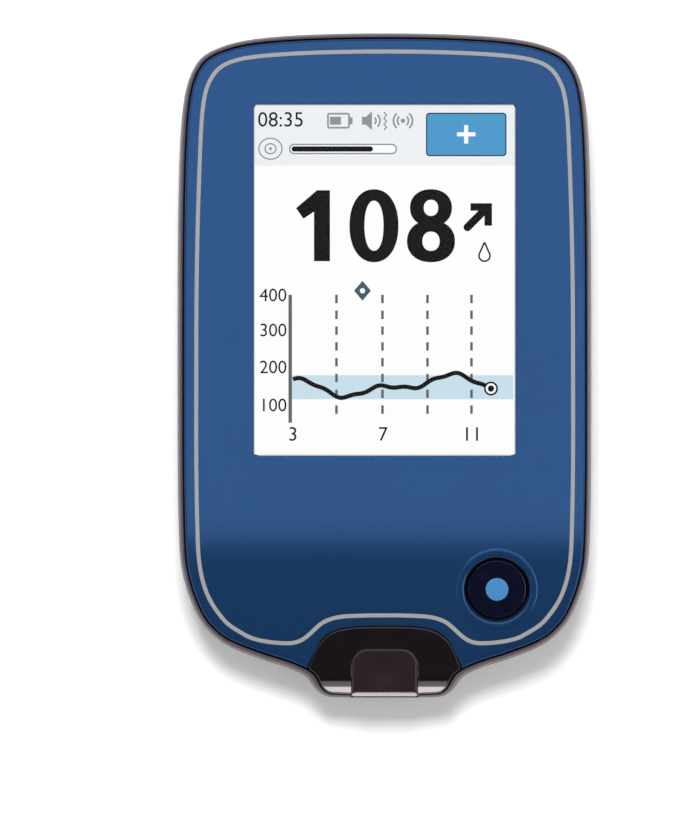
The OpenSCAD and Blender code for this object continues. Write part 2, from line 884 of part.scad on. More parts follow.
// A ribbon folded down from the touch panel's edge to the main board
module touch_flex() {
    top = touch_z + 0.4;
    color("#c8862f") translate([touch_flex_x - touch_flex_w / 2, touch_flex_y - flex_t, 0]) {
        translate([0, 0, board_top]) cube([touch_flex_w, flex_t, top - board_top]);
        translate([0, 0, board_top]) cube([touch_flex_w, 1.5, flex_t]);
        translate([0, 0, top - flex_t]) cube([touch_flex_w, 3 * flex_t, flex_t]);
    }
}

module display_foam() {
    color("#1b1b1e") at_window(touch_z - foam_t)
        frame_slab(
            display_w, display_l, foam_t, 0.8, window_w + 1, window_l + 1, 0.6
        );
}

module display_glass() {
    color("#e9ecee") at_window(glass_z) slab(display_w, display_l, glass_t, 0.4);
}

module display_backlight() {
    color("#f1efe6") at_window(backlight_z) slab(display_w, display_l, backlight_t, 0.4);
}

display_flex_w = 12;
display_flex_y = window_y - display_l / 2 + 1.4;
display_plug_h = 0.75;

// A ribbon from under the backlight down to its connector on the main board
module display_flex() {
    low = board_top + display_plug_h;
    color("#c8862f") translate([-display_flex_w / 2, display_flex_y, low]) {
        translate([0, -flex_t, flex_t]) cube([display_flex_w, flex_t, backlight_z - low - flex_t]);
        translate([0, -2.2, 0]) cube([display_flex_w, 2.2, flex_t]);
    }
}

module display_connector() {
    color("#e4e0d4") translate([0, display_flex_y - 2, board_top])
        block(display_flex_w + 1, 2.4, display_plug_h);
}

// ---------------------------------------------------------------- electronics

module main_board() {
    color("#1f5b3a") difference() {
        translate([0, 0, board_z]) linear_extrude(board_t)
            polygon(outline(wall + board_gap, nose_at(board_z)));
        at_each_screw(0) cylinder(r = screw_r + 0.25, h = body_t);
        at_each_pin(0) cylinder(r = pin_r + 1.1, h = body_t);
    }
}

// A folded metal can, open underneath
module shield_can() {
    sheet = 0.2;
    color("#b9bcc0") at_can(board_top) difference() {
        slab(can_w, can_l, can_h, 0.8);
        translate([0, 0, -sheet]) slab(can_w - 2 * sheet, can_l - 2 * sheet, can_h, 0.6);
        for (i = [-1.5 : 1.5])
            translate([i * can_w / 4.5, can_l / 2 - 3, 0]) cylinder(r = 0.6, h = can_h + over);
    }
}

// A chip centred at x on the can's middle line, with a round mark at its first corner
module chip(x, w, l) {
    at_can(board_top) translate([x, 0, 0]) {
        block(w, l, chip_h);
        translate([0.9 - w / 2, l / 2 - 0.9, 0]) cylinder(r = 0.35, h = chip_h + 0.03);
    }
}

module processor_chip() {
    color("#26262a") chip(cpu_w / 2 + 2 - can_w / 2, cpu_w, cpu_w);
}

module memory_chip() {
    color("#2b2b2f") chip(can_w / 2 - memory_w / 2 - 2.5, memory_w, memory_l);
}

module radio_chip() {
    color("#29292d") chip(can_w / 2 + radio_w / 2 + 4, radio_w, radio_w);
}

module clock_crystal() {
    color("#c9cbcd") at_can(board_top)
        translate([can_w / 2 + radio_w / 2 + 4, radio_w / 2 + 3, 0]) slab(3.2, 1.6, 0.8, 0.3);
}

// Small resistors and capacitors in rows beside the chips
module board_passives() {
    color("#b58f63") {
        at_can(board_top) {
            for (i = [-3.5 : 3.5]) translate([2.2 * i, -can_l / 2 - 2, 0]) block(1, 0.5, 0.5);
            for (i = [-2.5 : 2.5])
                translate([can_w / 2 + radio_w / 2 + 4 + 1.6 * i, -radio_w / 2 - 2.5, 0])
                    block(0.5, 1, 0.5);
            translate([can_w / 2 + 6, -can_l / 2 - 8, 0]) block(4, 4, 1.2);
        }
        for (i = [-2.5 : 2.5])
            translate([2 * i, socket_y + socket_l + 6, board_top]) block(1, 0.5, 0.5);
    }
}

antenna_w = 2 * (tab_out - tab_t - 0.9);
antenna_l = touch_l + 3.4;
antenna_t = 0.15;
antenna_z = touch_z + touch_t - antenna_t - 0.04;

module antenna_film() {
    color("#b87f2a") at_window(antenna_z)
        frame_slab(antenna_w, antenna_l, antenna_t, 5, touch_w + 0.6, touch_l + 0.6, 1.5);
}

module antenna_coil() {
    color("#b5683a") for (i = [0 : 2])
        at_window(antenna_z - 0.1)
            frame_slab(
                antenna_w - 0.6 - 0.9 * i, antenna_l - 0.6 - 0.6 * i, 0.1, 4.6,
                antenna_w - 1 - 0.9 * i, antenna_l - 0.9 - 0.6 * i, 4.4
            );
}

// ---------------------------------------------------------------- battery

module battery_cell() {
    color("#9ea3a8") translate([0, battery_y, battery_z]) {
        slab(battery_w, battery_l, battery_t, 1.6);
        translate([0, battery_l / 2 - 0.2, battery_t / 2 - 1])
            block(battery_w - 8, 1.6, 2.6);
    }
}

module battery_pad() {
    color("#e6e2d6") translate([0, battery_y, floor_t])
        slab(battery_w - 4, battery_l - 6, pad_t, 1);
}

lead_z = battery_z + battery_t / 2 + 0.8;
connector_y = battery_end_y + 3.4;

module battery_lead() {
    start = battery_end_y + 0.6;
    color("#a02c28") for (x = [-1, 1])
        translate([x, start, lead_z]) rotate([-90, 0, 0])
            cylinder(r = 0.45, h = connector_y - 1.3 - start);
}

module battery_connector() {
    bottom = lead_z - 0.8;
    color("#ece8dc") translate([0, connector_y, bottom]) block(5, 2.6, board_z - bottom);
}

// ---------------------------------------------------------------- sound and motion

module speaker_gasket() {
    color("#202022") translate([speaker_x, sound_y, floor_t]) difference() {
        cylinder(r = speaker_r, h = pad_t);
        translate([0, 0, -over]) cylinder(r = speaker_r - 1.2, h = 3);
    }
}

module speaker() {
    color("#3a3b3f") translate([speaker_x, sound_y, battery_z]) difference() {
        cylinder(r = speaker_r, h = speaker_h);
        translate([0, 0, -over]) cylinder(r = speaker_r - 1.2, h = 1.4 + over);
    }
}

module speaker_cone() {
    color("#6a6c70") translate([speaker_x, sound_y, battery_z + 0.5]) {
        cylinder(r = speaker_r - 1.25, h = 0.2);
        cylinder(r1 = 2.4, r2 = 3.2, h = 0.88);
    }
}

module motor_pad() {
    color("#dcd8cc") translate([motor_x, sound_y, floor_t]) cylinder(r = motor_r - 0.4, h = 0.2);
}

module vibration_motor() {
    color("#bfc2c6") translate([motor_x, sound_y, floor_t + 0.2]) {
        cylinder(r = motor_r, h = motor_h - 0.4);
        cylinder(r = motor_r - 0.5, h = motor_h);
    }
}

// ---------------------------------------------------------------- ports

function usb_profile(s) =
    let(w = usb_w / 2 - s, h = usb_h - 2 * s, k = 0.9)
    [[-w, h + s], [-w, k + s], [-w + k, s], [w - k, s], [w, k + s], [w, h + s]];

module usb_socket() {
    sheet = 0.3;
    color("#c4c7ca") translate([0, usb_y, board_top]) {
        difference() {
            translate([0, usb_l, 0]) rotate([90, 0, 0]) linear_extrude(usb_l)
                polygon(usb_profile(0));
            translate([0, usb_l + over, 0]) rotate([90, 0, 0]) linear_extrude(usb_l + over - 0.8)
                polygon(usb_profile(sheet));
        }
    }
}

module usb_tongue() {
    color("#1d1d20") translate([0, usb_y + 0.8, board_top + usb_h / 2 + 0.15])
        translate([0, 1.8, 0]) block(3.7, 3.6, 0.6);
}

module strip_socket() {
    w = slot_w + 2;
    h = slot_top + 0.5 - board_top;
    color("#e8e4da") translate([0, socket_y + socket_l / 2, board_top]) difference() {
        block(w, socket_l, h);
        translate([0, -1, slot_z + 0.1 - board_top]) block(slot_w - 0.3, socket_l, slot_h - 0.2);
        translate([0, 0, h - 0.35]) block(slot_w - 3, socket_l - 3, 1);
    }
}

// Spring contacts that lie on the floor of the strip socket
module strip_contacts() {
    color("#c9a24a") for (i = [-1.5 : 1 : 1.5])
        translate([1.7 * i, socket_y + 3.7, slot_z + 0.1]) block(0.7, 5, 0.3);
}

module frame_screws() {
    top = frame_z + frame_t;
    depth = top - board_z + screw_bite;
    color("#8b8f94") at_each_screw(top) {
        difference() {
            cylinder(r = screw_head_r, h = screw_head_h);
            for (a = [0, 90]) rotate([0, 0, a])
                translate([0, 0, screw_head_h - 0.35]) block(1.6, 0.35, 1);
        }
        translate([0, 0, -depth]) cylinder(r = screw_r, h = depth + 0.2);
    }
}

back_cover();
edge_seal();
mid_frame();
front_fascia();
trim_line();
window_lens();
port_hood();
port_tongue();
button_cap();
button_dot();
switch_body();
switch_actuator();
touch_panel();
touch_flex();
display_foam();
display_glass();
display_backlight();
display_flex();
display_connector();
main_board();
shield_can();
processor_chip();
memory_chip();
radio_chip();
clock_crystal();
board_passives();
antenna_film();
antenna_coil();
battery_cell();
battery_pad();
battery_lead();
battery_connector();
speaker();
speaker_cone();
speaker_gasket();
vibration_motor();
motor_pad();
usb_socket();
usb_tongue();
strip_socket();
strip_contacts();
frame_screws();
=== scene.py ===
# A handheld glucose reader: smooth skins, finishes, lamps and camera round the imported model.
# Shapes are worked out in millimetres, x to the right, y towards the top end, z out of the screen.
import math
import bmesh
import bpy
import numpy as np
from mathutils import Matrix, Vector


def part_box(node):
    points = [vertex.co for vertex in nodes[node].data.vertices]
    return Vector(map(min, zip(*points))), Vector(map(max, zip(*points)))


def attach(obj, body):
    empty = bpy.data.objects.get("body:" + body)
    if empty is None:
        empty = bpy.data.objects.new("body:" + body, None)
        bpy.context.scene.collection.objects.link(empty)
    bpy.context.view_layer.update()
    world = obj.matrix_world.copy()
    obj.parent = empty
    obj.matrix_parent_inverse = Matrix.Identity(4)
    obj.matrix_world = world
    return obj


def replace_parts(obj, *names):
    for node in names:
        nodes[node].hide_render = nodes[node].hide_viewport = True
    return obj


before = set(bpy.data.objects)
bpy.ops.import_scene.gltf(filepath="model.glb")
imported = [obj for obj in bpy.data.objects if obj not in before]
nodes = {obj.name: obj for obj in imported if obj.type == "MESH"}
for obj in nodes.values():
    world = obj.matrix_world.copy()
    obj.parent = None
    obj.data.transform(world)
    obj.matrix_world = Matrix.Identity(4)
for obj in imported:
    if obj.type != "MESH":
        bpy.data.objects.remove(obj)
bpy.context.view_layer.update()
scene = bpy.context.scene
mm = 0.001
sameSpot = 1e-7  # points nearer than this, in metres, are one
print("stage: frame loaded,", len(nodes), "nodes")


# Colours are noted as 0-255 screen values and turned to linear light here
def tint(red, green, blue, gain=1.0):
    value = np.array([red, green, blue]) / 255
    linear = np.where(value <= 0.04045, value / 12.92, ((value + 0.055) / 1.055) ** 2.4)
    return (*np.clip(linear * gain, 0, 1), 1.0)


def gridFaces(rows, cols, closeRows=False, closeCols=False):
    # Quads between neighbours on a grid of rows by cols points, numbered along each row
    r = np.arange(rows if closeRows else rows - 1)[:, None]
    c = np.arange(cols if closeCols else cols - 1)[None, :]
    nextR, nextC = (r + 1) % rows, (c + 1) % cols
    quads = [r * cols + c, r * cols + nextC, nextR * cols + nextC, nextR * cols + c]
    return np.stack(quads, -1).reshape(-1, 4).tolist()


def bridgeFaces(count, start):
    # Rungs from each point of a mirrored loop to its mirror image, closing the loop as a ladder
    half = count // 2
    i = np.arange(1, half - 1)
    rungs = np.stack([i, i + 1, count - i - 1, count - i], -1) + start
    ends = [[start, start + 1, start + count - 1], [start + half - 1, start + half, start + half + 1]]
    return rungs.tolist() + ends


def addPiece(name, points, faces, material, body, slot, creaseAngle=32):
    # points in millimetres become one closed, smooth mesh whose faces point outwards
    mesh = bpy.data.meshes.new(name)
    mesh.from_pydata((np.asarray(points, float).reshape(-1, 3) * mm).tolist(), [], faces)
    tidy = bmesh.new()
    tidy.from_mesh(mesh)
    bmesh.ops.remove_doubles(tidy, verts=tidy.verts, dist=sameSpot)
    bmesh.ops.recalc_face_normals(tidy, faces=tidy.faces)
    tidy.to_mesh(mesh)
    tidy.free()
    piece = bpy.data.objects.new(name, mesh)
    scene.collection.objects.link(piece)
    for m in material if isinstance(material, list) else [material]:
        mesh.materials.append(m)
    smoothShade(mesh, creaseAngle)
    if body:
        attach(piece, body)
    return piece


def smoothShade(mesh, creaseAngle):
    # Smooth faces, with a crisp edge wherever two of them meet at more than creaseAngle
    mesh.polygons.foreach_set("use_smooth", np.ones(len(mesh.polygons), bool))
    mesh.set_sharp_from_angle(angle=math.radians(creaseAngle))


def cutAway(piece, cutters, creaseAngle=32):
    # Takes each cutter out of the piece, and keeps the result as the piece's own mesh
    for cutter in cutters:
        cut = piece.modifiers.new("cut", "BOOLEAN")
        cut.operation, cut.solver, cut.object = "DIFFERENCE", "EXACT", cutter
    evaluated = piece.evaluated_get(bpy.context.evaluated_depsgraph_get())
    mesh = bpy.data.meshes.new_from_object(evaluated)
    piece.modifiers.clear()
    piece.data = mesh
    smoothShade(mesh, creaseAngle)
    for cutter in cutters:
        bpy.data.objects.remove(cutter)


def stackPiece(name, rings, material=None, body=None, slot=None, **rest):
    # A solid through closed rings of points, its two ends closed flat
    count, size = rings.shape[:2]
    ends = [list(range(size)), list(range((count - 1) * size, count * size))]
    faces = gridFaces(count, size, closeCols=True) + ends
    return addPiece(name, rings, faces, material or [], body, slot, **rest)


def revolve(profile, turns=96):
    # Rings of a profile of [radius, height] turned round the z axis
    angle = np.linspace(0, 2 * np.pi, turns, endpoint=False)
    radius, height = np.asarray(profile, float).T[:, :, None]
    return np.stack([radius * np.cos(angle), radius * np.sin(angle), height + 0 * angle], -1)


def roundedLoop(width, length, radius, corner=8):
    # Closed rounded rectangle: each corner is a quarter circle about its own centre
    quarter = np.linspace(0, np.pi / 2, corner)
    angle = (np.arange(4)[:, None] * np.pi / 2 + quarter).ravel()
    side = np.repeat([[1, 1], [-1, 1], [-1, -1], [1, -1]], corner, axis=0)
    centre = side * [width / 2 - radius, length / 2 - radius]
    return centre + radius * np.stack([np.cos(angle), np.sin(angle)], -1)


def bothSides(half):
    # A half outline and its mirror image in x, joined into one closed loop
    return np.concatenate([half, half[..., -2:0:-1, :] * [-1, 1]], axis=-2)


def chain(stations, inset=0.0, steps=12):
    # Stations are [x, y, heading, handle before, handle after, share]. Each moves inwards by inset
    # times its share, square to its heading, and a cubic Bezier curve joins each two, with
    # handles that grow and shrink as the chord does.
    turn = np.radians(stations[..., 2])
    way = np.stack([np.cos(turn), np.sin(turn)], -1)
    square = np.stack([np.sin(turn), -np.cos(turn)], -1)
    places = stations[..., :2] + (inset * stations[..., 5])[..., None] * square
    a, d = places[..., :-1, None, :], places[..., 1:, None, :]
    before = np.linalg.norm(np.diff(stations[..., :2], axis=-2), axis=-1)
    scale = np.linalg.norm(np.diff(places, axis=-2), axis=-1) / before
    b = a + (scale * stations[..., :-1, 4])[..., None, None] * way[..., :-1, None, :]
    c = d - (scale * stations[..., 1:, 3])[..., None, None] * way[..., 1:, None, :]
    t = (np.arange(steps) / steps)[:, None]
    curve = a * (1 - t) ** 3 + 3 * b * t * (1 - t) ** 2 + 3 * c * t**2 * (1 - t) + d * t**3
    curve = curve.reshape(*curve.shape[:-3], -1, 2)
    return np.concatenate([curve, places[..., -1:, :]], axis=-2)


# The body's main sizes. Past bendY the face falls by slope, and past creaseY it rolls over the nose.
form = {
    "halfLength": 47.5, "thickness": 16.0, "waistZ": 9.0,
    "backRound": 7.0, "wall": 1.8, "floor": 1.5, "innerRound": 4.8,
    "rimLean": 0.6, "lipInset": 0.8, "ledgeDrop": 2.6, "faceProud": 0.45, "faceInset": 1.06,
    "slope": math.tan(math.radians(4.2)), "bendY": -20.6, "bendLength": 8.0,
    "creaseY": -44.2, "lipReach": 3.4, "lipDrop": 3.0,
}

# The outline's right half, from the top middle to the nose's end
bodyStations = np.array([
    [0, 47.5, 0, 0, 7, 1], [22, 46, -17, 4.4, 4, 1], [27.7, 41.6, -66, 2.5, 1.5, 1],
    [29.1, 33.9, -86, 4.4, 7, 1], [29.6, 3, -90, 9.3, 14, 1], [29.3, -26.5, -93, 6.5, 5, 1],
    [25.55, -37.5, -133, 2, 2.9, 1], [17.14, -42.2, -161, 6, 0.9, 1.15],
    [10.8, -45, -124, 1.7, 1.4, 1.3], [7.3, -47.45, -178, 2, 1.2, 0.6],
    [0, -47.5, -180, 5, 0, 0.5],
])
bluntStations = bodyStations.copy()
# The same outline without its nose, as the back has it
bluntStations[8:, 1] = [-43.9, -44.6, -45.1]
bluntStations[8:, 2] = [-167, -172, -180]

# The strip port's hood, from its top middle outwards, past the nose's flank
hoodStations = np.array([
    [0, -37.15, 0, 0, 3, 1], [5.8, -37.45, -9, 2, 1.9, 1], [9.8, -40.4, -62, 1.9, 1.2, 1],
    [11.2, -43.8, -66, 1.2, 1.2, 1],
])

# The trim's middle line, round the body and over the hood
trimStations = np.array([
    [0, 44.65, 0, 0, 6.25, 1], [20.9, 43.47, -15, 3.8, 2.1, 1], [25.2, 39.75, -68, 2.7, 2, 1],
    [26.22, 31.3, -87.6, 2.6, 8.1, 1], [26.8, 3, -90, 11, 11, 1], [26.62, -24.1, -91.7, 9.4, 2.2, 1],
    [24.05, -34.75, -126, 4.3, 2.45, 1], [19.58, -38.55, -151, 3.1, 1.7, 1],
    [13.55, -39.58, -182, 1.3, 2.1, 1], [9.23, -36.94, -219, 1.7, 1.1, 1],
    [4.97, -35.7, -182, 2, 2.3, 1], [0, -35.6, -180, 3, 0, 1],
])


def outline(inset, nose=1.0, lean=False, steps=14):
    # Half outline drawn in by inset; nose fades the nose out, lean uses each station's own share
    nose = np.asarray(nose, float)[..., None, None]
    stations = bluntStations + (bodyStations - bluntStations) * nose
    stations[..., 5] = np.where(np.asarray(lean)[..., None], stations[..., 5], 1.0)
    return chain(stations, np.asarray(inset, float)[..., None], steps)


def slopeHeight(y):
    # Flat, then a parabola, then a straight slope towards the nose
    past = np.clip(form["bendY"] - y, 0, None)
    bend = form["bendLength"]
    run = np.where(past < bend, past**2 / (2 * bend), past - bend / 2)
    return form["thickness"] - form["slope"] * run


def faceHeight(y):
    # The slope, less an elliptic roll below the crease
    roll = np.clip((form["creaseY"] - y) / form["lipReach"], 0, 1)
    return slopeHeight(y) - form["lipDrop"] * (1 - np.sqrt(1 - roll**2))


def inward(loop, distance):
    # Moves each point of a closed clockwise loop inwards, square to the line through its neighbours
    tangent = np.roll(loop, -1, axis=0) - np.roll(loop, 1, axis=0)
    tangent /= np.linalg.norm(tangent, axis=1, keepdims=True)
    side = np.stack([tangent[:, 1], -tangent[:, 0]], -1)
    return loop + side * np.broadcast_to(distance, len(loop))[:, None]


def onFace(loop, drop):
    # A loop laid on the face, drop below it
    return np.concatenate([loop, (faceHeight(loop[:, 1]) - drop)[:, None]], axis=1)


class Graph:
    # Short hands for one material's nodes
    def __init__(self, name):
        self.material = bpy.data.materials.new(name)
        self.material.use_nodes = True
        self.tree = self.material.node_tree
        self.shader = self.tree.nodes["Principled BSDF"]
        self.place = self.add("ShaderNodeTexCoord").outputs["Object"]

    def add(self, kind, links=None, **settings):
        # A node of this kind: a setting whose name is a socket's fills it, any other is a property
        node = self.tree.nodes.new(kind)
        for key, value in settings.items():
            socket = key.replace("_", " ")
            if socket in node.inputs:
                node.inputs[socket].default_value = value
            else:
                setattr(node, key, value)
        for key, value in (links or {}).items():
            self.tree.links.new(value, node.inputs[key])
        return node

    def noise(self, size, detail=3.0, stretch=None):
        # Noise whose features are about size millimetres across, stretched along each axis
        place = self.place
        if stretch:
            mapping = self.add("ShaderNodeMapping", {"Vector": place})
            mapping.inputs["Scale"].default_value = stretch
            place = mapping.outputs["Vector"]
        node = self.add("ShaderNodeTexNoise", {"Vector": place}, Scale=1 / (size * mm), Detail=detail)
        return node.outputs["Fac"]

    def between(self, factor, low, high, start=0.3, stop=0.7):
        # A colour that runs from low to high as factor goes from start to stop
        ramp = self.add("ShaderNodeValToRGB", {"Fac": factor})
        ramp.color_ramp.elements[0].position, ramp.color_ramp.elements[1].position = start, stop
        ramp.color_ramp.elements[0].color, ramp.color_ramp.elements[1].color = low, high
        return ramp.outputs["Color"]

    def span(self, factor, low, high):
        # A number that runs from low to high as factor goes from 0 to 1
        node = self.add("ShaderNodeMapRange", {"Value": factor})
        node.inputs["To Min"].default_value, node.inputs["To Max"].default_value = low, high
        return node.outputs["Result"]

    def join(self, **sockets):
        # Links outputs to the shader's sockets
        for key, value in sockets.items():
            self.tree.links.new(value, self.shader.inputs[key.replace("_", " ")])

    def relief(self, height, depth):
        # A bump depth millimetres high
        bump = self.add("ShaderNodeBump", {"Height": height}, Strength=1.0, Distance=depth * mm)
        self.join(Normal=bump.outputs["Normal"])

    def fix(self, **sockets):
        # Sets the shader's own sockets
        for key, value in sockets.items():
            self.shader.inputs[key.replace("_", " ")].default_value = value


def plainFinish(name, colour, rough, metal=0.0, grain=0.4, depth=0.004, shift=0.08, stretch=None, **more):
    # A moulded, cast or rolled surface: grain in colour, gloss and relief from one noise
    graph = Graph(name)
    noise = graph.noise(grain, stretch=stretch)
    low, high = tint(*colour, gain=1 - shift), tint(*colour, gain=1 + shift)
    uneven = 0.05
    graph.join(
        Base_Color=graph.between(noise, low, high),
        Roughness=graph.span(noise, rough - uneven, rough + uneven),
    )
    graph.relief(noise, depth)
    graph.fix(Metallic=metal, **more)
    return graph.material


lacquerLook = {
    "dark": (34, 75, 124), "light": (40, 81, 133), "flake": 0.09, "cloud": 14, "cloudShade": 0.96,
    "grain": 0.15, "rough": (0.14, 0.19), "peel": 1.2, "peelDepth": 0.0006,
}


def lacquerFinish(name):
    # Metallic blue lacquer: fine flakes under a clear coat, with the faintest orange peel
    look = lacquerLook
    graph = Graph(name)
    flakes = graph.add("ShaderNodeTexVoronoi", {"Vector": graph.place}, Scale=1 / (look["flake"] * mm))
    dark, light = tint(*look["dark"]), tint(*look["light"])
    flake = graph.between(flakes.outputs["Color"], dark, light, 0.1, 0.9)
    soft = graph.add("ShaderNodeMix", data_type="RGBA", blend_type="MULTIPLY", Factor=1.0)
    cloudShade = look["cloudShade"]
    shade = graph.between(graph.noise(look["cloud"], 2.0), (*[cloudShade] * 3, 1), (1, 1, 1, 1))
    graph.tree.links.new(flake, soft.inputs[6])
    graph.tree.links.new(shade, soft.inputs[7])
    graph.join(Base_Color=soft.outputs[2], Roughness=graph.span(graph.noise(look["grain"]), *look["rough"]))
    graph.relief(graph.noise(look["peel"], 2.0), look["peelDepth"])
    graph.fix(Metallic=0.68, Specular_IOR_Level=0.25, Coat_Weight=0.12, Coat_Roughness=0.06)
    return graph.material


def brushedFinish(name, colour, rough, direction):
    # Metal with fine lines: noise drawn out along one axis
    stretch = {"x": (0.05, 1, 1), "y": (1, 0.05, 1), "z": (1, 1, 0.05)}[direction]
    return plainFinish(name, colour, rough, 1.0, 0.08, 0.002, 0.1, stretch)


def boardFinish(name):
    # Green solder mask over a faint maze of copper runs
    graph = Graph(name)
    runs = graph.add(
        "ShaderNodeTexBrick", {"Vector": graph.place}, Scale=1 / (1.6 * mm), Mortar_Size=0.06
    )
    runs.inputs["Color1"].default_value = tint(24, 82, 50)
    runs.inputs["Color2"].default_value = tint(28, 92, 56)
    runs.inputs["Mortar"].default_value = tint(52, 122, 74)
    graph.join(Base_Color=runs.outputs["Color"], Roughness=graph.span(graph.noise(0.3), 0.3, 0.45))
    graph.relief(runs.outputs["Fac"], 0.02)
    return graph.material


def glassFinish(name):
    # Clear cover glass, very slightly wavy
    graph = Graph(name)
    graph.relief(graph.noise(9, 1.0), 0.0002)
    graph.fix(Base_Color=(1, 1, 1, 1), Transmission_Weight=1.0, IOR=1.2, Roughness=0.0)
    return graph.material


def litFinish(name, colour):
    # A patch of the lit display: it shines with its own colour, a little uneven as a backlight is
    graph = Graph(name)
    even = graph.between(graph.noise(22, 1.0), tint(*colour, gain=0.985), tint(*colour))
    graph.join(Emission_Color=even)
    graph.fix(Base_Color=(0, 0, 0, 1), Specular_IOR_Level=0.0, Emission_Strength=1.0, Roughness=0.6)
    return graph.material


lacquer = lacquerFinish("blueLacquer")
housingPlastic = plainFinish("brownHousing", (78, 68, 74), 0.46, grain=0.22, depth=0.012, shift=0.1)
trimMetal = plainFinish("satinTrim", (160, 162, 160), 0.5, 0.25, 0.12, 0.002, 0.05, (1, 0.2, 1))
hoodGloss = plainFinish(
    "blackGloss", (7, 4, 6), 0.15, grain=3.0, depth=0.0008, shift=0.12,
    Specular_Tint=(1, 0.86, 0.92, 1), Coat_Weight=0.8, Coat_Roughness=0.07,
)
tongueGloss = plainFinish(
    "tongueGloss", (27, 18, 22), 0.2, grain=0.5, depth=0.001, shift=0.08,
    Specular_Tint=(1, 0.86, 0.92, 1), Coat_Weight=0.8, Coat_Roughness=0.1,
)
capGloss = plainFinish(
    "navyCap", (4, 7, 28), 0.12, grain=1.4, depth=0.0008, shift=0.12, Specular_IOR_Level=0.45,
)
dotPrint = plainFinish("dotPrint", (62, 124, 178), 0.4, grain=0.3, depth=0.001, shift=0.04)
coverGlass = glassFinish("coverGlass")
print("stage: outer finishes made")


# lipRound: how far before the lip's wall and how far below its top each point of its small round is
# flare and mouth: each loop's place along the hole, and how much wider it is than the hole
housing = {
    "steps": 14, "backRows": 28, "rimRows": 12, "innerRows": 12, "noseFade": 1.5, "crease": 34,
    "lipRound": [[0.04, 0.005], [0.01, 0.03], [0.0, 0.08]],
    "usb": {
        "width": 8.4, "height": 3.4, "z": 9.25, "radius": 1.0,
        "flare": [
            [49, 1.2], [47.6, 0.5], [47.3, 0.34], [47.1, 0.3], [46.95, 0.12], [46.8, 0.0], [44.6, 0.0],
        ],
    },
    "notch": {"half": 4.78, "backY": -44.5, "bottomZ": 10.7, "above": 20, "outside": 1},
    "slots": {
        "x": 10.0, "y": -30.0, "pitch": 2.0, "reach": 4.6, "width": 0.9, "radius": 0.4, "short": 1,
        "mouth": [[-1, 0.5], [-0.05, 0.22], [0.05, 0.1], [0.2, 0.0], [3, 0.0]], "each": range(-2, 3),
    },
}


def housingRows():
    # Rows of [inset, nose share, lean, own height, share of the face's height, drop below the face]:
    # a quarter ellipse up the back, one up the rim, the lip and ledge, the wall, and the inner ellipse
    rise = np.linspace(0, np.pi / 2, housing["backRows"])
    z = form["waistZ"] * (1 - np.cos(rise))
    o = np.zeros_like(z)
    fade = (z / form["waistZ"]) ** housing["noseFade"]
    back = np.stack([form["backRound"] * (1 - np.sin(rise)), fade, o, z, o, o], -1)
    rise = np.linspace(0, np.pi / 2, housing["rimRows"])[1:]
    o = np.ones_like(rise)
    proud, ledge, lip = form["faceProud"], form["ledgeDrop"], form["lipInset"]
    leaning = form["rimLean"] * (1 - np.cos(rise))
    rim = np.stack([leaning, o, o, o * form["waistZ"], np.sin(rise), o * proud], -1)
    edge = [[lip - before, 1, 1, 0, 1, proud + below] for before, below in housing["lipRound"]]
    edge += [[lip, 1, 1, 0, 1, ledge], [form["wall"], 1, 0, 0, 1, ledge]]
    fall = np.linspace(np.pi / 2, 0, housing["innerRows"])
    z = form["waistZ"] + (form["floor"] - form["waistZ"]) * np.cos(fall)
    o = np.zeros_like(z)
    drawn = form["wall"] + form["innerRound"] * (1 - np.sin(fall))
    fade = np.clip(z / form["waistZ"], 0, 1) ** housing["noseFade"]
    hollow = np.stack([drawn, fade, o, z, o, o], -1)
    return np.concatenate([back, rim, edge, hollow])


def usbCutter():
    # A mouth that flares outwards: rounded rectangles, each wider than the one further in
    usb = housing["usb"]
    loops = [
        np.insert(roundedLoop(usb["width"] + 2 * g, usb["height"] + 2 * g, usb["radius"] + g), 1, y, axis=1)
        for y, g in usb["flare"]
    ]
    return stackPiece("usbCutter", np.array(loops) + [0, 0, usb["z"]])


def slotCutter(index):
    # One speaker slot, as long as the round speaker allows at its place, with a softened mouth
    slots = housing["slots"]
    off = index * slots["pitch"]
    length = 2 * math.sqrt(slots["reach"] ** 2 - off**2) - slots["short"]
    loops = [
        np.insert(roundedLoop(slots["width"] + 2 * g, length + 2 * g, slots["radius"] + g), 2, z, axis=1)
        for z, g in slots["mouth"]
    ]
    return stackPiece("slotCutter", np.array(loops) + [slots["x"] + off, slots["y"], 0])


def boxCutter(low, high):
    # A plain block from corner low to corner high: one rectangle at two heights
    loop = roundedLoop(high[0] - low[0], high[1] - low[1], 0.02, 2)
    middle = [(high[0] + low[0]) / 2, (high[1] + low[1]) / 2]
    rings = np.array([np.insert(loop + middle, 2, z, axis=1) for z in (low[2], high[2])])
    return stackPiece("boxCutter", rings)


def buildHousing():
    # Each row is one closed loop of the outline; where the row says so, its height follows the face
    rows = housingRows()
    loops = bothSides(outline(rows[:, 0], rows[:, 1], rows[:, 2] > 0, housing["steps"]))
    count = loops.shape[1]
    own, share, drop = rows[:, 3:4], rows[:, 4:5], rows[:, 5:6]
    height = own * (1 - share) + (faceHeight(loops[..., 1]) - drop) * share
    points = np.concatenate([loops, height[..., None]], -1)
    faces = gridFaces(len(rows), count, closeCols=True)
    faces += bridgeFaces(count, 0) + bridgeFaces(count, (len(rows) - 1) * count)
    crease = housing["crease"]
    piece = addPiece("housingShell", points, faces, housingPlastic, "reader", "housing", crease)
    notch = housing["notch"]
    low = [-notch["half"], -form["halfLength"] - notch["outside"], notch["bottomZ"]]
    high = [notch["half"], notch["backY"], notch["above"]]
    slots = [slotCutter(i) for i in housing["slots"]["each"]]
    cutAway(piece, [usbCutter(), boxCutter(low, high)] + slots, crease)
    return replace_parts(piece, "back_cover")


buildHousing()
print("stage: housing done")


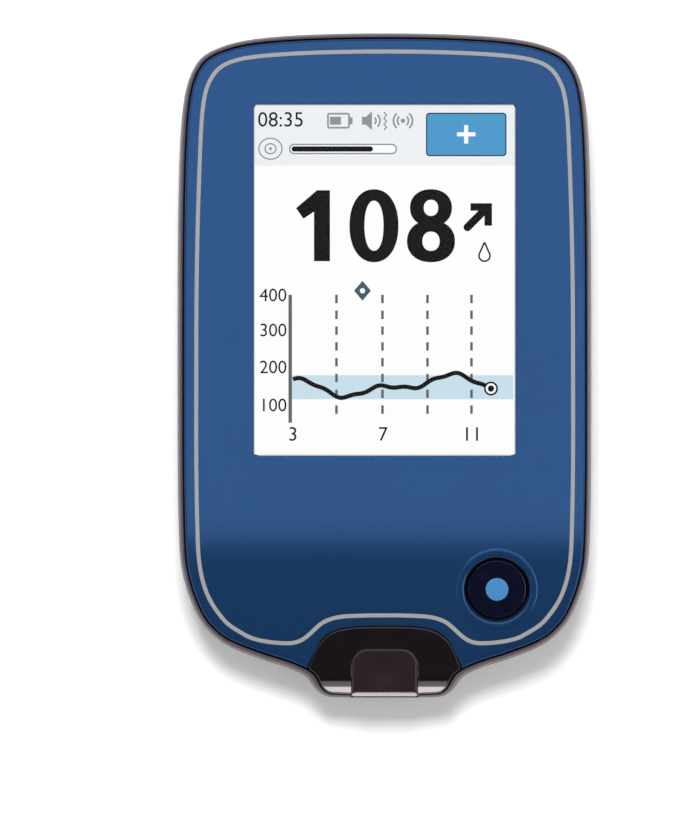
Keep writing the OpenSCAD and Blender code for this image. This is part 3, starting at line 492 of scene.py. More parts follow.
# window is width, length and corner radius; the edges are the radii of the small rounds
face = {
    "window": (37.2, 50.0, 0.3), "windowY": 12.1, "thickness": 1.8, "skirt": 0.4, "underside": 1.4,
    "bodyEdge": 0.3, "hoodEdge": 0.05, "windowEdge": 0.08, "hoodGap": 0.08, "plateauRows": 46,
    "tipClear": 0.004, "closest": 0.0035, "everyDegrees": 2.0, "crease": 40,
}


def tipSplit(grow, inset, dense=160):
    # Where the face's edge meets the hood's outline: dense runs of both, cut at their nearest points
    bodyLine = outline(inset, 1.0, True, dense)
    hoodLine = chain(hoodStations, -grow, dense)
    lastCurves = 4 * dense  # they hold the nose
    gaps = np.linalg.norm(bodyLine[None, -lastCurves:] - hoodLine[:, None], axis=-1)
    hoodAt, bodyAt = np.unravel_index(gaps.argmin(), gaps.shape)
    return bodyLine, len(bodyLine) - lastCurves + bodyAt, hoodLine, hoodAt


def radiusAt(loop, centre, angles):
    # Distance of a loop from centre in each direction, for a loop that every ray crosses once;
    # each of its sides is first parted into eight
    t = (np.arange(8) / 8)[:, None]
    off = (loop[:, None] * (1 - t) + np.roll(loop, -1, axis=0)[:, None] * t).reshape(-1, 2) - centre
    reach = np.hypot(off[:, 0], off[:, 1])
    return np.interp(angles, np.arctan2(off[:, 0], off[:, 1]), reach, period=2 * np.pi)


def evenLoop(loop, count=1200):
    # The same closed loop with points at even steps along it, its own points kept
    closed = np.concatenate([loop, loop[:1]])
    run = np.concatenate([[0], np.cumsum(np.linalg.norm(np.diff(closed, axis=0), axis=1))])
    at = np.union1d(run[:-1], np.linspace(0, run[-1], count, endpoint=False))
    return np.stack([np.interp(at, run, closed[:, 0]), np.interp(at, run, closed[:, 1])], -1)


def rayLoop(loop, centre, angles):
    # The loop again, with one point where each ray from centre crosses it
    reach = radiusAt(loop, centre, angles)
    return centre + reach[:, None] * np.stack([np.sin(angles), np.cos(angles)], -1)


def directions(loop, centre):
    # The angle of each point as seen from centre, measured from the y axis
    off = loop - centre
    return np.arctan2(off[:, 0], off[:, 1])


def windowLoop(grow, centre, angles):
    # The window's rounded rectangle, grow larger all round, met by each ray
    width, length, radius = face["window"]
    loop = roundedLoop(width + 2 * grow, length + 2 * grow, radius + grow, 20)
    return rayLoop(evenLoop(loop) + centre, centre, angles)


def rayAngles(centre, tip):
    # Directions for the face's spokes on one side: through the outline's, the hood's and the window
    # corners' own points and at even steps, thinned where two lie close, with the tip's own added
    width, length, radius = face["window"]
    bodyLoop = outline(form["faceInset"], 1.0, True, 12)
    keep = bodyLoop[:, 1] > tip[1] + 0.1
    corners = roundedLoop(width, length, radius, 7) + centre
    spokes = np.concatenate([
        directions(bodyLoop[keep], centre), directions(chain(hoodStations, -face["hoodGap"], 10), centre),
        directions(corners[:7], centre), directions(corners[-7:], centre),
        np.radians(np.arange(0, 181, face["everyDegrees"])),
    ])
    tipAngle = directions(tip[None], centre)[0]
    spokes = spokes[(spokes >= 0) & (np.abs(spokes - tipAngle) > face["tipClear"])]
    spokes = np.unique(np.round(spokes, 3))
    spokes = spokes[np.concatenate([[True], np.diff(spokes) > face["closest"]])]
    spokes = spokes[(spokes > 0.002) & (spokes < np.pi - 0.002)]
    return np.sort(np.append(spokes, [0, tipAngle, np.pi])), tipAngle


def buildFace():
    # A ring from the window's edge out to the body's edge and the hood, swept round its section:
    # up the window's wall, over its small round, across the face, over the outer round and down
    centre = np.array([0, face["windowY"]])
    bodyLine, bodyAt, hoodLine, hoodAt = tipSplit(face["hoodGap"], form["faceInset"])
    half = np.concatenate([bodyLine[: bodyAt + 1], hoodLine[: hoodAt][::-1]])
    spokes, tipAngle = rayAngles(centre, bodyLine[bodyAt])
    angles = np.concatenate([spokes, -spokes[-2:0:-1]])
    outer = rayLoop(bothSides(half), centre, angles)
    onBody = np.abs(angles) < tipAngle
    edge = np.where(onBody, face["bodyEdge"], face["hoodEdge"])
    small, thick = face["windowEdge"], face["thickness"]
    rows = [onFace(windowLoop(0, centre, angles), thick)]
    for turn in np.linspace(0, np.pi / 2, 5):
        grown = windowLoop(small * (1 - np.cos(turn)), centre, angles)
        rows.append(onFace(grown, small * (1 - np.sin(turn))))
    shoulder = inward(outer, edge)
    start = windowLoop(small, centre, angles)
    for t in np.linspace(0, 1, face["plateauRows"])[1:]:
        rows.append(onFace(start + (shoulder - start) * t, 0))
    for turn in np.linspace(0, np.pi / 2, 8)[1:]:
        rows.append(onFace(inward(outer, edge * (1 - np.sin(turn))), edge * (1 - np.cos(turn))))
    rows.append(onFace(outer, np.where(onBody, thick + face["skirt"], thick)))
    rows.append(onFace(inward(outer, face["underside"]), thick))
    faces = gridFaces(len(rows), len(angles), closeRows=True, closeCols=True)
    piece = addPiece("faceShell", np.array(rows), faces, lacquer, "reader", "fascia", face["crease"])
    bore = [[button["opening"], -button["boreReach"][0]], [button["opening"], button["boreReach"][1]]]
    cutAway(piece, [stackPiece("roundCutter", tilted(revolve(bore)))], face["crease"])
    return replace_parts(piece, "front_fascia")


# Heights are in the button's own frame, from the face up; the flange and stem lie under the face
button = {
    "x": 16.0, "y": -31.9, "tilt": math.radians(4.2), "opening": 4.7, "boreReach": (6, 4),
    "beadStart": 0.02, "beadReach": 1.2, "beadSlant": 0.34, "beadHeight": 0.04, "beadSunk": 0.006,
    "beadDeep": 0.3, "radius": 4.42, "top": 4.02, "ridge": [[-0.01, 0.003], [0, 0.018], [0.07, 0.006]],
    "flank": [[0.09, -0.03]], "flankEnd": -0.75, "skirtEnd": -1.9, "flange": 5.3, "flangeZ": (-1.95, -2.45),
    "stem": 1.2, "dot": 1.62, "wellGap": 0.02, "wellRound": 0.03, "wellDeep": 0.2, "turns": 120,
    "dotEdge": [[0, -0.2], [0, -0.03], [-0.02, -0.012], [-0.08, -0.006]],
    "dotMiddle": [[0.8, -0.002], [0.02, 0]],
}


def tilted(points):
    # From the button's own frame, whose z axis stands square on the sloped face, to the body's:
    # a turn about the x axis by the tilt, then a shift to the button's place
    x, y, z = np.moveaxis(np.asarray(points, float), -1, 0)
    c, s = math.cos(button["tilt"]), math.sin(button["tilt"])
    base = float(faceHeight(np.array(button["y"])))
    return np.stack([x + button["x"], y * c - z * s + button["y"], y * s + z * c + base], -1)


def buildBead():
    # A low flat ring round the opening, its two slants smooth steps, 3t^2 - 2t^3
    t = np.linspace(0, 1, 9)
    inside, reach = button["opening"] - button["beadStart"], button["beadReach"]
    climb = button["beadHeight"] * (t * t * (3 - 2 * t)) - button["beadSunk"]
    up = np.stack([inside + button["beadSlant"] * t, climb], -1)
    down = np.stack([inside + reach - button["beadSlant"] * t[::-1], climb[::-1]], -1)
    foot = [[inside + reach, -button["beadDeep"]], [inside, -button["beadDeep"]]]
    profile = np.concatenate([up, down, foot])
    faces = gridFaces(len(profile), button["turns"], closeRows=True, closeCols=True)
    rings = tilted(revolve(profile, button["turns"]))
    addPiece("openingBead", rings, faces, lacquer, "reader", "fascia", 50)


def buildCap():
    # A revolved profile: the dot's well, a flat top, a fine ridge, a steep flank, a flange and the stem
    well, stem, top = button["dot"] + button["wellGap"], button["stem"], button["top"]
    onSlope = float(faceHeight(np.array(button["y"])))
    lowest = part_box("button_cap")[0][2] / mm
    stemEnd = -(onSlope - lowest - stem * math.sin(button["tilt"])) / math.cos(button["tilt"])
    bevel, flange = button["wellRound"], button["flange"]
    flangeTop, flangeEnd = button["flangeZ"]
    profile = np.concatenate([
        [[well, -button["wellDeep"]], [well, -bevel], [well + bevel, 0]],
        np.stack([np.linspace(2, top - 0.1, 6), np.zeros(6)], -1),
        np.add(button["ridge"], [top, 0]), np.add(button["flank"], [top, 0]),
        [[button["radius"], button["flankEnd"]], [button["radius"], button["skirtEnd"]]],
        [[flange, flangeTop], [flange, flangeEnd], [stem, flangeEnd], [stem, stemEnd]],
    ])
    rings = tilted(revolve(profile, button["turns"]))
    cap = stackPiece("homeCap", rings, capGloss, "home_button", "button", creaseAngle=38)
    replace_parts(cap, "button_cap")


def buildDot():
    # A revolved profile: a thin disc whose rim falls off gently
    profile = np.concatenate([np.add(button["dotEdge"], [button["dot"], 0]), button["dotMiddle"]])
    dot = stackPiece("homeDot", tilted(revolve(profile)), dotPrint, "home_button", "dot", creaseAngle=38)
    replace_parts(dot, "button_dot")


buildFace()
buildBead()
buildCap()
buildDot()
print("stage: face and button done")


# across and rise draw the band's section, in halves of its width and in shares of proud and deep
trim = {
    "width": 0.6, "steps": 16, "proud": 0.012, "deep": 0.12,
    "across": [-1, -1, -0.92, -0.75, -0.35, 0, 0.35, 0.75, 0.92, 1, 1],
    "rise": [-1, -0.1, 0.7, 1, 1, 1, 1, 1, 0.7, -0.1, -1],
}


def buildTrim():
    # A low rounded band carried along the trim's line; each row is one offset across the band
    path = bothSides(chain(trimStations, 0.0, trim["steps"]))
    across, rise = np.array(trim["across"]) * trim["width"] / 2, np.array(trim["rise"])
    lift = np.where(rise > 0, rise * trim["proud"], rise * trim["deep"])
    rows = np.array([onFace(inward(path, s), -h) for s, h in zip(across, lift)])
    faces = gridFaces(len(rows), len(path), closeRows=True, closeCols=True)
    piece = addPiece("trimInlay", rows, faces, trimMetal, "reader", "trim", 50)
    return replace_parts(piece, "trim_line")


buildTrim()


# lipTurn is how far the lip's slope grows over lipRun; bluntTip leaves out points at the sharp tips
port = {
    "inset": 1.06, "bluntTip": 2, "creaseDepth": 0.05, "creaseWidth": 0.26, "edge": 0.2, "innerRow": 0.12,
    "lipSlope": 0.06, "lipStart": 0.3, "lipTurn": 0.82, "lipRun": 1.5, "gap": 0.08, "bottom": 1.8,
    "tongueHalf": 4.7, "tongueTop": -40.3, "tongueEnd": -47.15, "tongueCorner": 2.2, "endCorner": 0.36,
    "tongueRise": 0.28, "shoulder": 0.32, "dish": 0.05, "dishRadius": 60.0, "dishFade": 3.0,
    "straightSteps": 14, "sideSteps": 26, "chamfer": 0.55, "chamferSlope": 0.93,
    "slotTop": 11.9, "legY": -44.7, "footDrop": 0.8, "pocketFrom": -46, "pocketTo": -50, "pocketZ": (8, 20),
}


def hoodHeight(y):
    # The slope down to the crease, a fine step there, then a lip: a parabola that runs into a straight
    past = np.clip(form["creaseY"] - y, 0, None)
    step = np.clip(past / port["creaseWidth"], 0, 1)
    bent = np.clip(past - port["lipStart"], 0, port["lipRun"])
    straight = np.clip(past - port["lipStart"] - port["lipRun"], 0, None)
    lip = port["lipSlope"] * past + port["lipTurn"] * (bent**2 / (2 * port["lipRun"]) + straight)
    return slopeHeight(y) - port["creaseDepth"] * step * step * (3 - 2 * step) - lip


def spanGrid(half, steps):
    # Rungs across a mirrored half outline, between its straight top and its straight end: each row
    # of points runs from one side to the other in twice steps, as those two straights do
    half = half[steps:-steps]
    across = np.linspace(-1, 1, 2 * steps + 1)
    x = half[:, :1] * across
    return np.stack([x, np.broadcast_to(half[:, 1:], x.shape)], -1)


def tongueLoop(inset):
    # Half outline of the tongue: straight top, round corner, straight side, small corner, end
    half, corner = port["tongueHalf"] - inset, port["tongueCorner"] - inset
    small = port["endCorner"] - inset * 0.5
    top, end = port["tongueTop"] - inset, port["tongueEnd"] + inset * 0.3
    turn = np.linspace(0, np.pi / 2, 10)
    arc = np.stack([half - corner + corner * np.sin(turn), top - corner + corner * np.cos(turn)], -1)
    low = np.stack([half - small + small * np.cos(turn), end + small - small * np.sin(turn)], -1)
    down = np.linspace(top - corner, end + small, port["sideSteps"] + 2)[1:-1]
    side = np.stack([np.full(port["sideSteps"], half), down], -1)
    steps = port["straightSteps"]
    topRun = np.stack([np.linspace(0, half - corner, steps + 1)[:-1], np.full(steps, top)], -1)
    endRun = np.stack([np.linspace(half - small, 0, steps + 1)[1:], np.full(steps, end)], -1)
    return np.concatenate([topRun, arc, side, low, endRun])


def underChamfer(y, z):
    # The tongue's end is planed off, a little flatter than 45 degrees
    tip = slopeHeight(np.array(port["tongueEnd"])) + port["tongueRise"]
    return np.minimum(z, tip + port["chamferSlope"] * (y - port["tongueEnd"] - port["chamfer"]))


def buildHood():
    # Wall, small round and top: the top is a ladder of rungs, so that it follows the face's fall
    bodyLine, bodyAt, hoodLine, hoodAt = tipSplit(0.0, port["inset"], 60)
    blunt = port["bluntTip"]
    half = np.concatenate([
        hoodLine[: hoodAt - blunt : 4], bodyLine[bodyAt + blunt : -1 : 2], bodyLine[-1:],
    ])
    loop = bothSides(half)
    rows = []
    for drop in (port["bottom"], port["edge"]):
        rows.append(np.concatenate([loop, (hoodHeight(loop[:, 1]) - drop)[:, None]], 1))
    for turn in np.linspace(0, np.pi / 2, 6)[1:]:
        moved = inward(loop, port["edge"] * (1 - math.cos(turn)))
        drop = port["edge"] * (1 - math.sin(turn))
        rows.append(np.concatenate([moved, (hoodHeight(moved[:, 1]) - drop)[:, None]], 1))
    moved = inward(loop, port["edge"] + port["innerRow"])
    rows.append(np.concatenate([moved, hoodHeight(moved[:, 1])[:, None]], 1))
    count = len(loop)
    faces = gridFaces(len(rows), count, closeCols=True)
    faces += bridgeFaces(count, 0) + bridgeFaces(count, (len(rows) - 1) * count)
    piece = addPiece("portHood", np.array(rows), faces, hoodGloss, "reader", "hood", 40)
    grow = port["gap"]
    pocket = bothSides(tongueLoop(-grow))
    pocket[:, 1] = np.where(pocket[:, 1] < port["pocketFrom"], port["pocketTo"], pocket[:, 1])
    rings = np.array([np.insert(pocket, 2, z, axis=1) for z in port["pocketZ"]])
    cutAway(piece, [stackPiece("pocketCutter", rings)], 40)
    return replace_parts(piece, "port_hood")


def buildTongue():
    # Closed walls from below the slope up to a rounded shoulder, then rungs across the dished top
    walls = []
    base = bothSides(tongueLoop(0))
    foot = np.where(base[:, 1] < port["legY"], port["slotTop"], slopeHeight(base[:, 1]) - port["footDrop"])
    walls.append(np.insert(base, 2, foot, axis=1))
    r = port["shoulder"]
    for turn in np.linspace(0, np.pi / 2, 8):
        loop = bothSides(tongueLoop(r * (1 - math.cos(turn))))
        z = slopeHeight(loop[:, 1]) + port["tongueRise"] - r * (1 - math.sin(turn))
        walls.append(np.insert(loop, 2, underChamfer(loop[:, 1], z), axis=1))
    count = len(base)
    faces = gridFaces(len(walls), count, closeCols=True) + bridgeFaces(count, 0)
    grid = spanGrid(tongueLoop(r), port["straightSteps"])
    x, y = grid[..., 0], grid[..., 1]
    fromEnds = np.minimum(port["tongueTop"] - y, y - port["tongueEnd"] - port["chamfer"])
    near = np.clip(fromEnds / port["dishFade"], 0, 1)
    near[0] = 0  # the first row meets the walls
    dish = np.clip(port["dish"] - x**2 / (2 * port["dishRadius"]), 0, None) * near * near * (3 - 2 * near)
    z = underChamfer(y, slopeHeight(y) + port["tongueRise"] - dish)
    top = np.concatenate([grid, z[..., None]], -1)
    start = len(walls) * count
    faces += (np.array(gridFaces(*grid.shape[:2])) + start).tolist()
    points = np.concatenate([np.array(walls).reshape(-1, 3), top.reshape(-1, 3)])
    piece = addPiece("portTongue", points, faces, tongueGloss, "reader", "tongue", 34)
    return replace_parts(piece, "port_tongue")


buildHood()
buildTongue()
print("stage: trim and strip port done")


lens = {
    "width": 37.14, "length": 49.94, "radius": 0.27, "bottom": 14.2, "top": 15.88, "edge": 0.1,
    "innerRow": 0.1,
}


def buildLens():
    # A slab with rounded corners and a small round along its upper edge
    turn = np.linspace(0, np.pi / 2, 6)
    levels = [[0, lens["bottom"]]] + [
        [lens["edge"] * (1 - math.cos(a)), lens["top"] - lens["edge"] * (1 - math.sin(a))] for a in turn
    ] + [[lens["edge"] + lens["innerRow"], lens["top"]]]
    rings = [
        np.insert(roundedLoop(lens["width"] - 2 * g, lens["length"] - 2 * g, lens["radius"] - g), 2, z, 1)
        for g, z in levels
    ]
    placed = np.array(rings) + [0, face["windowY"], 0]
    piece = stackPiece("screenLens", placed, coverGlass, "reader", "lens")
    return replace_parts(piece, "window_lens")


# The picture on the display is laid out in its own pixels, from the window's upper left corner
screen = {"pitch": 0.14236, "left": -18.6, "top": 37.1, "z": 15.4, "layer": 0.012}
inks = {
    "paper": (254, 254, 254), "header": (238, 241, 244), "ink": (22, 19, 20), "icon": (140, 149, 156),
    "blue": (78, 155, 205), "outline": (24, 52, 84), "band": (200, 224, 236), "axis": (98, 100, 104),
    "frame": (190, 190, 187), "mark": (70, 92, 108),
}
shapes = []


def put(points, faces, layer, ink):
    # Keeps one flat shape for buildPicture: its points, its faces, how high it lies and its ink
    shapes.append((np.asarray(points, float).reshape(-1, 2), faces, layer, ink))


def fill(points, layer, ink):
    # One face through all the points
    put(points, [list(range(len(points)))], layer, ink)


def block(left, top, right, bottom, layer, ink):
    # A rectangle from its four sides
    fill([[left, top], [right, top], [right, bottom], [left, bottom]], layer, ink)


def ribbon(points, width, layer, ink, closed=False):
    # A band of even width: each point of the path moved to both sides, square to the path
    points = np.asarray(points, float)
    tangent = np.gradient(points, axis=0) if not closed else np.roll(points, -1, 0) - np.roll(points, 1, 0)
    tangent /= np.linalg.norm(tangent, axis=1, keepdims=True)
    side = np.stack([-tangent[:, 1], tangent[:, 0]], -1) * width / 2
    put(np.stack([points - side, points + side]), gridFaces(2, len(points), closeCols=closed), layer, ink)


def arcOf(centre, radius, start, stop, count):
    # Centre plus radius times cosine and sine, from start to stop in degrees
    angle = np.radians(np.linspace(start, stop, count))
    return np.asarray(centre) + np.asarray(radius) * np.stack([np.cos(angle), np.sin(angle)], -1)


def disc(centre, radius, layer, ink):
    # A filled circle of count points
    count = 40
    fill(arcOf(centre, radius, 0, 360 * (1 - 1 / count), count), layer, ink)


def plate(left, top, right, bottom, radius, layer, ink):
    # A block with rounded corners
    loop = roundedLoop(right - left, bottom - top, radius) + [(left + right) / 2, (top + bottom) / 2]
    fill(loop, layer, ink)


def numerals(text, x, y, size, layer, ink, anchor="LEFT"):
    # Plain numerals from Blender's own font, as flat faces with x, y at the middle of their height
    curve = bpy.data.curves.new("numerals", "FONT")
    curve.body, curve.size, curve.resolution_u = text, size, 6
    curve.align_x, curve.align_y = anchor, "CENTER"
    holder = bpy.data.objects.new("numerals", curve)
    scene.collection.objects.link(holder)
    mesh = bpy.data.meshes.new_from_object(holder.evaluated_get(bpy.context.evaluated_depsgraph_get()))
    points = np.array([v.co[:2] for v in mesh.vertices]) * [1, -1] + [x, y]
    put(points, [list(p.vertices)[::-1] for p in mesh.polygons], layer, ink)
    bpy.data.objects.remove(holder)


def ovalOf(centre, radii, count=72):
    # A slightly squared oval: cosine and sine drawn to the power 0.92
    angle = np.linspace(0, 2 * np.pi, count, endpoint=False)
    wave = np.stack([np.cos(angle), np.sin(angle)], -1)
    return centre + np.asarray(radii) * np.sign(wave) * np.abs(wave) ** 0.92


# The display's layout: blocks and plates are left, top, right, bottom and, for plates, a corner radius
layout = {
    "size": (261.3, 350.8), "frame": 0.9, "headerEnd": 61, "clock": (3.5, 15.5, 21),
    "battery": (84.5, 16), "charge": (76, 12, 87, 20), "batteryTip": (95.6, 12.5, 98.6, 19.5),
    "horn": [[108, 12], [112, 12], [118, 6.5], [118, 25.5], [112, 20], [108, 20]], "sound": (117.5, 16),
    "buzz": [[130, 7.5], [132.6, 10.5], [130, 13.5], [132.6, 16.5], [130, 19.5], [132.6, 22.5], [130, 25]],
    "radio": (149, 16), "sign": (16.5, 44), "bar": (35, 39, 143, 49.5, 5),
    "barInside": (36.4, 40.4, 141.6, 48.1, 3.8), "barFull": (37.6, 41.6, 119, 46.9, 2.6),
    "key": (172, 8, 252.5, 51.5, 3.5), "keyInside": (173.2, 9.2, 251.3, 50.3, 2.6),
    "plusAcross": (203, 27.6, 221.5, 31.6), "plusUp": (210.2, 20.4, 214.2, 38.8),
    "reading": (41, 85.5), "one": [[22, 0], [35, 0], [35, 71], [19, 71], [19, 21.5], [8.5, 28.5], [1, 18]],
    "ovals": [
        ([79, 35.5], [24.5, 36.5], [9.5, 25]), ([136, 17.6], [21, 18.6], [7.2, 8]),
        ([136, 51], [24, 21], [8.6, 9.6]),
    ],
    "arrowTail": (213.5, 122.5),
    "arrowHead": [
        [224.4, 106], [216.5, 106], [216.5, 98.5], [238, 98.5], [238, 121], [230.5, 121], [230.5, 111.1],
    ],
    "dropTip": [230.5, 137.5], "drop": (230.5, 151),
    "band": (36, 270.5, 259.4, 294.5, 0.4), "axis": (34.5, 190, 38, 318), "dash": (1.3, 8.5),
    "dashX": (82.5, 128.5, 173.5, 217.5), "dashY": (190, 306, 15.8), "traceX": (39, 237),
    "diamond": [[108.5, 176], [117, 186], [108.5, 196], [100, 186]], "diamondMiddle": [108.5, 186],
    "levels": (("400", 191), ("300", 226), ("200", 263), ("100", 301)), "levelX": 33,
    "hours": (("3", 39), ("7", 129), ("11", 218)), "hourY": 330,
}


def drawHeader():
    # Frame and paper, clock, battery, sound and radio signs, a bar of the days left, and a blue key
    (wide, tall), frameWidth = layout["size"], layout["frame"]
    plate(0, 0, wide, tall, 0.8, 0, "frame")
    plate(frameWidth, frameWidth, wide - frameWidth, tall - frameWidth, 0.5, 1, "paper")
    plate(frameWidth, frameWidth, wide - frameWidth, layout["headerEnd"], 0.6, 2, "header")
    numerals("08:35", *layout["clock"], 3, "ink")
    ribbon(roundedLoop(21, 14, 1.5) + layout["battery"], 1.8, 3, "icon", True)
    block(*layout["charge"], 3, "icon")
    block(*layout["batteryTip"], 3, "icon")
    fill(layout["horn"], 3, "icon")
    for reach in (4.5, 8.5):
        ribbon(arcOf(layout["sound"], reach, -45, 45, 12), 1.8, 3, "icon")
    ribbon(layout["buzz"], 1.7, 3, "icon")
    disc(layout["radio"], 2.2, 3, "icon")
    for reach in (5.5, 9.5):
        for middle in (0, 180):
            ribbon(arcOf(layout["radio"], reach, middle - 50, middle + 50, 14), 1.8, 3, "icon")
    for reach in (10.5, 5.0):
        ribbon(arcOf(layout["sign"], [reach * 1.1, reach], 0, 351, 40), 1.3, 3, "icon", True)
    disc(layout["sign"], 1.5, 3, "icon")
    plate(*layout["bar"], 3, "icon")
    plate(*layout["barInside"], 4, "paper")
    plate(*layout["barFull"], 5, "ink")
    plate(*layout["key"], 3, "outline")
    plate(*layout["keyInside"], 4, "blue")
    block(*layout["plusAcross"], 5, "paper")
    block(*layout["plusUp"], 6, "paper")


def drawReading():
    # A flagged stem, then rings between an outer and an inner oval, the trend's arrow and a drop
    fill(np.add(layout["one"], layout["reading"]), 3, "ink")
    for centre, outer, hole in layout["ovals"]:
        loops = [ovalOf(np.add(centre, layout["reading"]), size) for size in (outer, hole)]
        put(np.stack(loops), gridFaces(2, len(loops[0]), closeCols=True), 3, "ink")
    fill(np.concatenate([arcOf(layout["arrowTail"], 4, 45, 225, 10), layout["arrowHead"]]), 3, "ink")
    tip = [layout["dropTip"]]
    ribbon(np.concatenate([tip, arcOf(layout["drop"], 5.5, -30, 210, 22), tip]), 1.7, 3, "ink")


def drawChart():
    # Band, axis, dashed hours, numbers, and a trace that is the sum of three sines with a ring at its end
    plate(*layout["band"], 2, "band")
    block(*layout["axis"], 4, "axis")
    half, length = layout["dash"]
    for x in layout["dashX"]:
        for y in np.arange(*layout["dashY"]):
            block(x - half, y, x + half, y + length, 3, "axis")
    t = np.linspace(0, 1, 90)
    wave = 7.5 * np.sin(2.1 * np.pi * t + 2.6) + 4.5 * np.sin(5.3 * np.pi * t + 0.6)
    wave += 1.2 * np.sin(15 * np.pi * t)
    start, stop = layout["traceX"]
    trace = np.stack([start + (stop - start) * t, 281 - wave], -1)
    ribbon(trace, 4.4, 5, "ink")
    for radius, layer, ink in ((7, 6, "ink"), (5.2, 7, "paper"), (3.2, 8, "ink")):
        disc(trace[-1], radius, layer, ink)
    fill(layout["diamond"], 4, "mark")
    disc(layout["diamondMiddle"], 2.6, 5, "paper")
    for text, y in layout["levels"]:
        numerals(text, layout["levelX"], y, 18.5, 4, "ink", "RIGHT")
    for text, x in layout["hours"]:
        numerals(text, x, layout["hourY"], 20, 4, "ink", "CENTER")


def buildPicture():
    # All flat shapes as one mesh: each ink lies one layer above the last, so none share a plane
    drawHeader()
    drawReading()
    drawChart()
    names = list(inks)
    points, faces, paints = [], [], []
    count = 0
    for flat, polygons, layer, ink in shapes:
        x = screen["left"] + flat[:, 0] * screen["pitch"]
        y = screen["top"] - flat[:, 1] * screen["pitch"]
        points.append(np.stack([x, y, np.full(len(flat), screen["z"] + layer * screen["layer"])], -1))
        faces += [[i + count for i in f] for f in polygons]
        paints += [names.index(ink)] * len(polygons)
        count += len(flat)
    materials = [litFinish("lit_" + name, inks[name]) for name in names]
    mesh = bpy.data.meshes.new("screenPicture")
    mesh.from_pydata((np.concatenate(points) * mm).tolist(), [], faces)
    for m in materials:
        mesh.materials.append(m)
    mesh.polygons.foreach_set("material_index", paints)
    mesh.update()
    for polygon in [p for p in mesh.polygons if p.normal.z < 0]:
        polygon.flip()  # every flat shape faces up
    mesh.update()
    piece = bpy.data.objects.new("screenPicture", mesh)
    scene.collection.objects.link(piece)
    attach(piece, "reader")


buildLens()
buildPicture()
print("stage: screen done,", len(shapes), "shapes")


# Colour, roughness, grain in millimetres, relief in millimetres, shift in colour, and the nodes
mouldedParts = {
    # The seal is real rubber, but its near-black colour also stands in for the shade inside the reveal gap
    # between face and housing: partly painted shade
    "sealRubber": ((21, 21, 30), 0.75, 0.2, 0.01, 0.08, "edge_seal"),
    "chassisPlastic": ((34, 35, 40), 0.55, 0.3, 0.01, 0.08, "mid_frame"),
    "touchGlass": ((150, 158, 164), 0.12, 2.0, 0.0005, 0.03, "touch_panel"),
    "polyimide": ((176, 112, 38), 0.38, 0.5, 0.002, 0.06, "touch_flex display_flex antenna_film"),
    "closedFoam": ((30, 30, 33), 0.9, 0.25, 0.05, 0.25, "display_foam speaker_gasket"),
    "displayGlass": ((60, 64, 70), 0.08, 3.0, 0.0005, 0.03, "display_glass"),
    "lightGuide": ((236, 235, 226), 0.3, 0.6, 0.004, 0.03, "display_backlight"),
    "creamNylon": (
        (226, 222, 208), 0.5, 0.3, 0.006, 0.05, "display_connector battery_connector strip_socket",
    ),
    "chipEpoxy": (
        (38, 38, 42), 0.6, 0.12, 0.006, 0.12,
        "processor_chip memory_chip radio_chip usb_tongue switch_actuator",
    ),
    "ceramic": ((176, 140, 100), 0.45, 0.3, 0.004, 0.14, "board_passives"),
    "whiteTape": ((226, 223, 214), 0.7, 0.3, 0.01, 0.05, "battery_pad motor_pad"),
    "leadSleeve": ((160, 42, 38), 0.45, 0.3, 0.003, 0.08, "battery_lead"),
    "paperCone": ((96, 98, 102), 0.8, 0.2, 0.02, 0.15, "speaker_cone"),
}
# Colour, roughness, the axis that the fine lines follow, and the nodes
metalParts = {
    "tinPlate": ((186, 189, 192), 0.3, "x", "shield_can clock_crystal usb_socket"),
    "copperTrack": ((190, 112, 66), 0.3, "y", "antenna_coil"),
    "cellFoil": ((160, 165, 170), 0.36, "y", "battery_cell"),
    "turnedSteel": ((150, 153, 158), 0.3, "z", "speaker frame_screws switch_body vibration_motor"),
    "goldContact": ((206, 164, 82), 0.25, "y", "strip_contacts"),
}


def dress(members, material):
    # Gives each named node its finish
    for member in members.split():
        data = nodes[member].data
        data.materials.clear()
        data.materials.append(material)


for name, (colour, rough, grain, depth, shift, members) in mouldedParts.items():
    dress(members, plainFinish(name, colour, rough, 0.0, grain, depth, shift))
for name, (colour, rough, direction, members) in metalParts.items():
    dress(members, brushedFinish(name, colour, rough, direction))
dress("main_board", boardFinish("solderMask"))
print("stage: packed pieces finished")


# distance, frameHeight and aim are in millimetres, the floor's sizes in metres
studio = {
    "zenith": (0.06, 0.06, 0.068, 1), "horizon": (0.42, 0.42, 0.43, 1), "sky": (0.35, 0.88),
    "whiteBand": (0.05, 0.08), "floorGlow": 0.25, "floorGrey": (0.795, 0.81), "floorHalf": 6.0,
    "floorZ": -1e-4, "distance": 1200.0, "frameHeight": 117.79, "aim": (-5.57, -6.57, 9.0), "farClip": 20,
}
warm = (1.0, 0.97, 0.98)
nosePieces = ["portHood", "portTongue", "housingShell"]
# Each lamp's place, the point it faces, its size, its radiance, its colour, and the pieces it lights
# where that isn't all: a strip that the port needs would show as a white glare in the flat face
lamps = {
    "card": ((0.02, 0.188, 1.5), (0.02, 0.188, 0), (0.7, 0.718), 1.06),
    "cardRight": ((0.62, -0.05, 1.4), (0.62, -0.05, 0), (0.36, 0.9), 2.2),
    "cardLeft": ((-0.6, -0.05, 1.4), (-0.6, -0.05, 0), (0.3, 0.9), 1.0),
    "key": ((-0.03, 0.28, 0.9), (0, 0, 0), (0.2, 0.2), 66.0),
    "side": ((0.55, 0.0, 0.13), (0, 0, 0.13), (0.5, 0.24), 5.0, warm, ["housingShell"]),
    "strip": ((0.0, -0.5, 0.037), (0, 0, 0.037), (0.1, 0.07), 7.3, warm, nosePieces),
    "stripMiddle": ((0.0, -0.5, 0.26), (0, 0, 0.26), (0.1, 0.38), 1.2, warm, nosePieces),
}


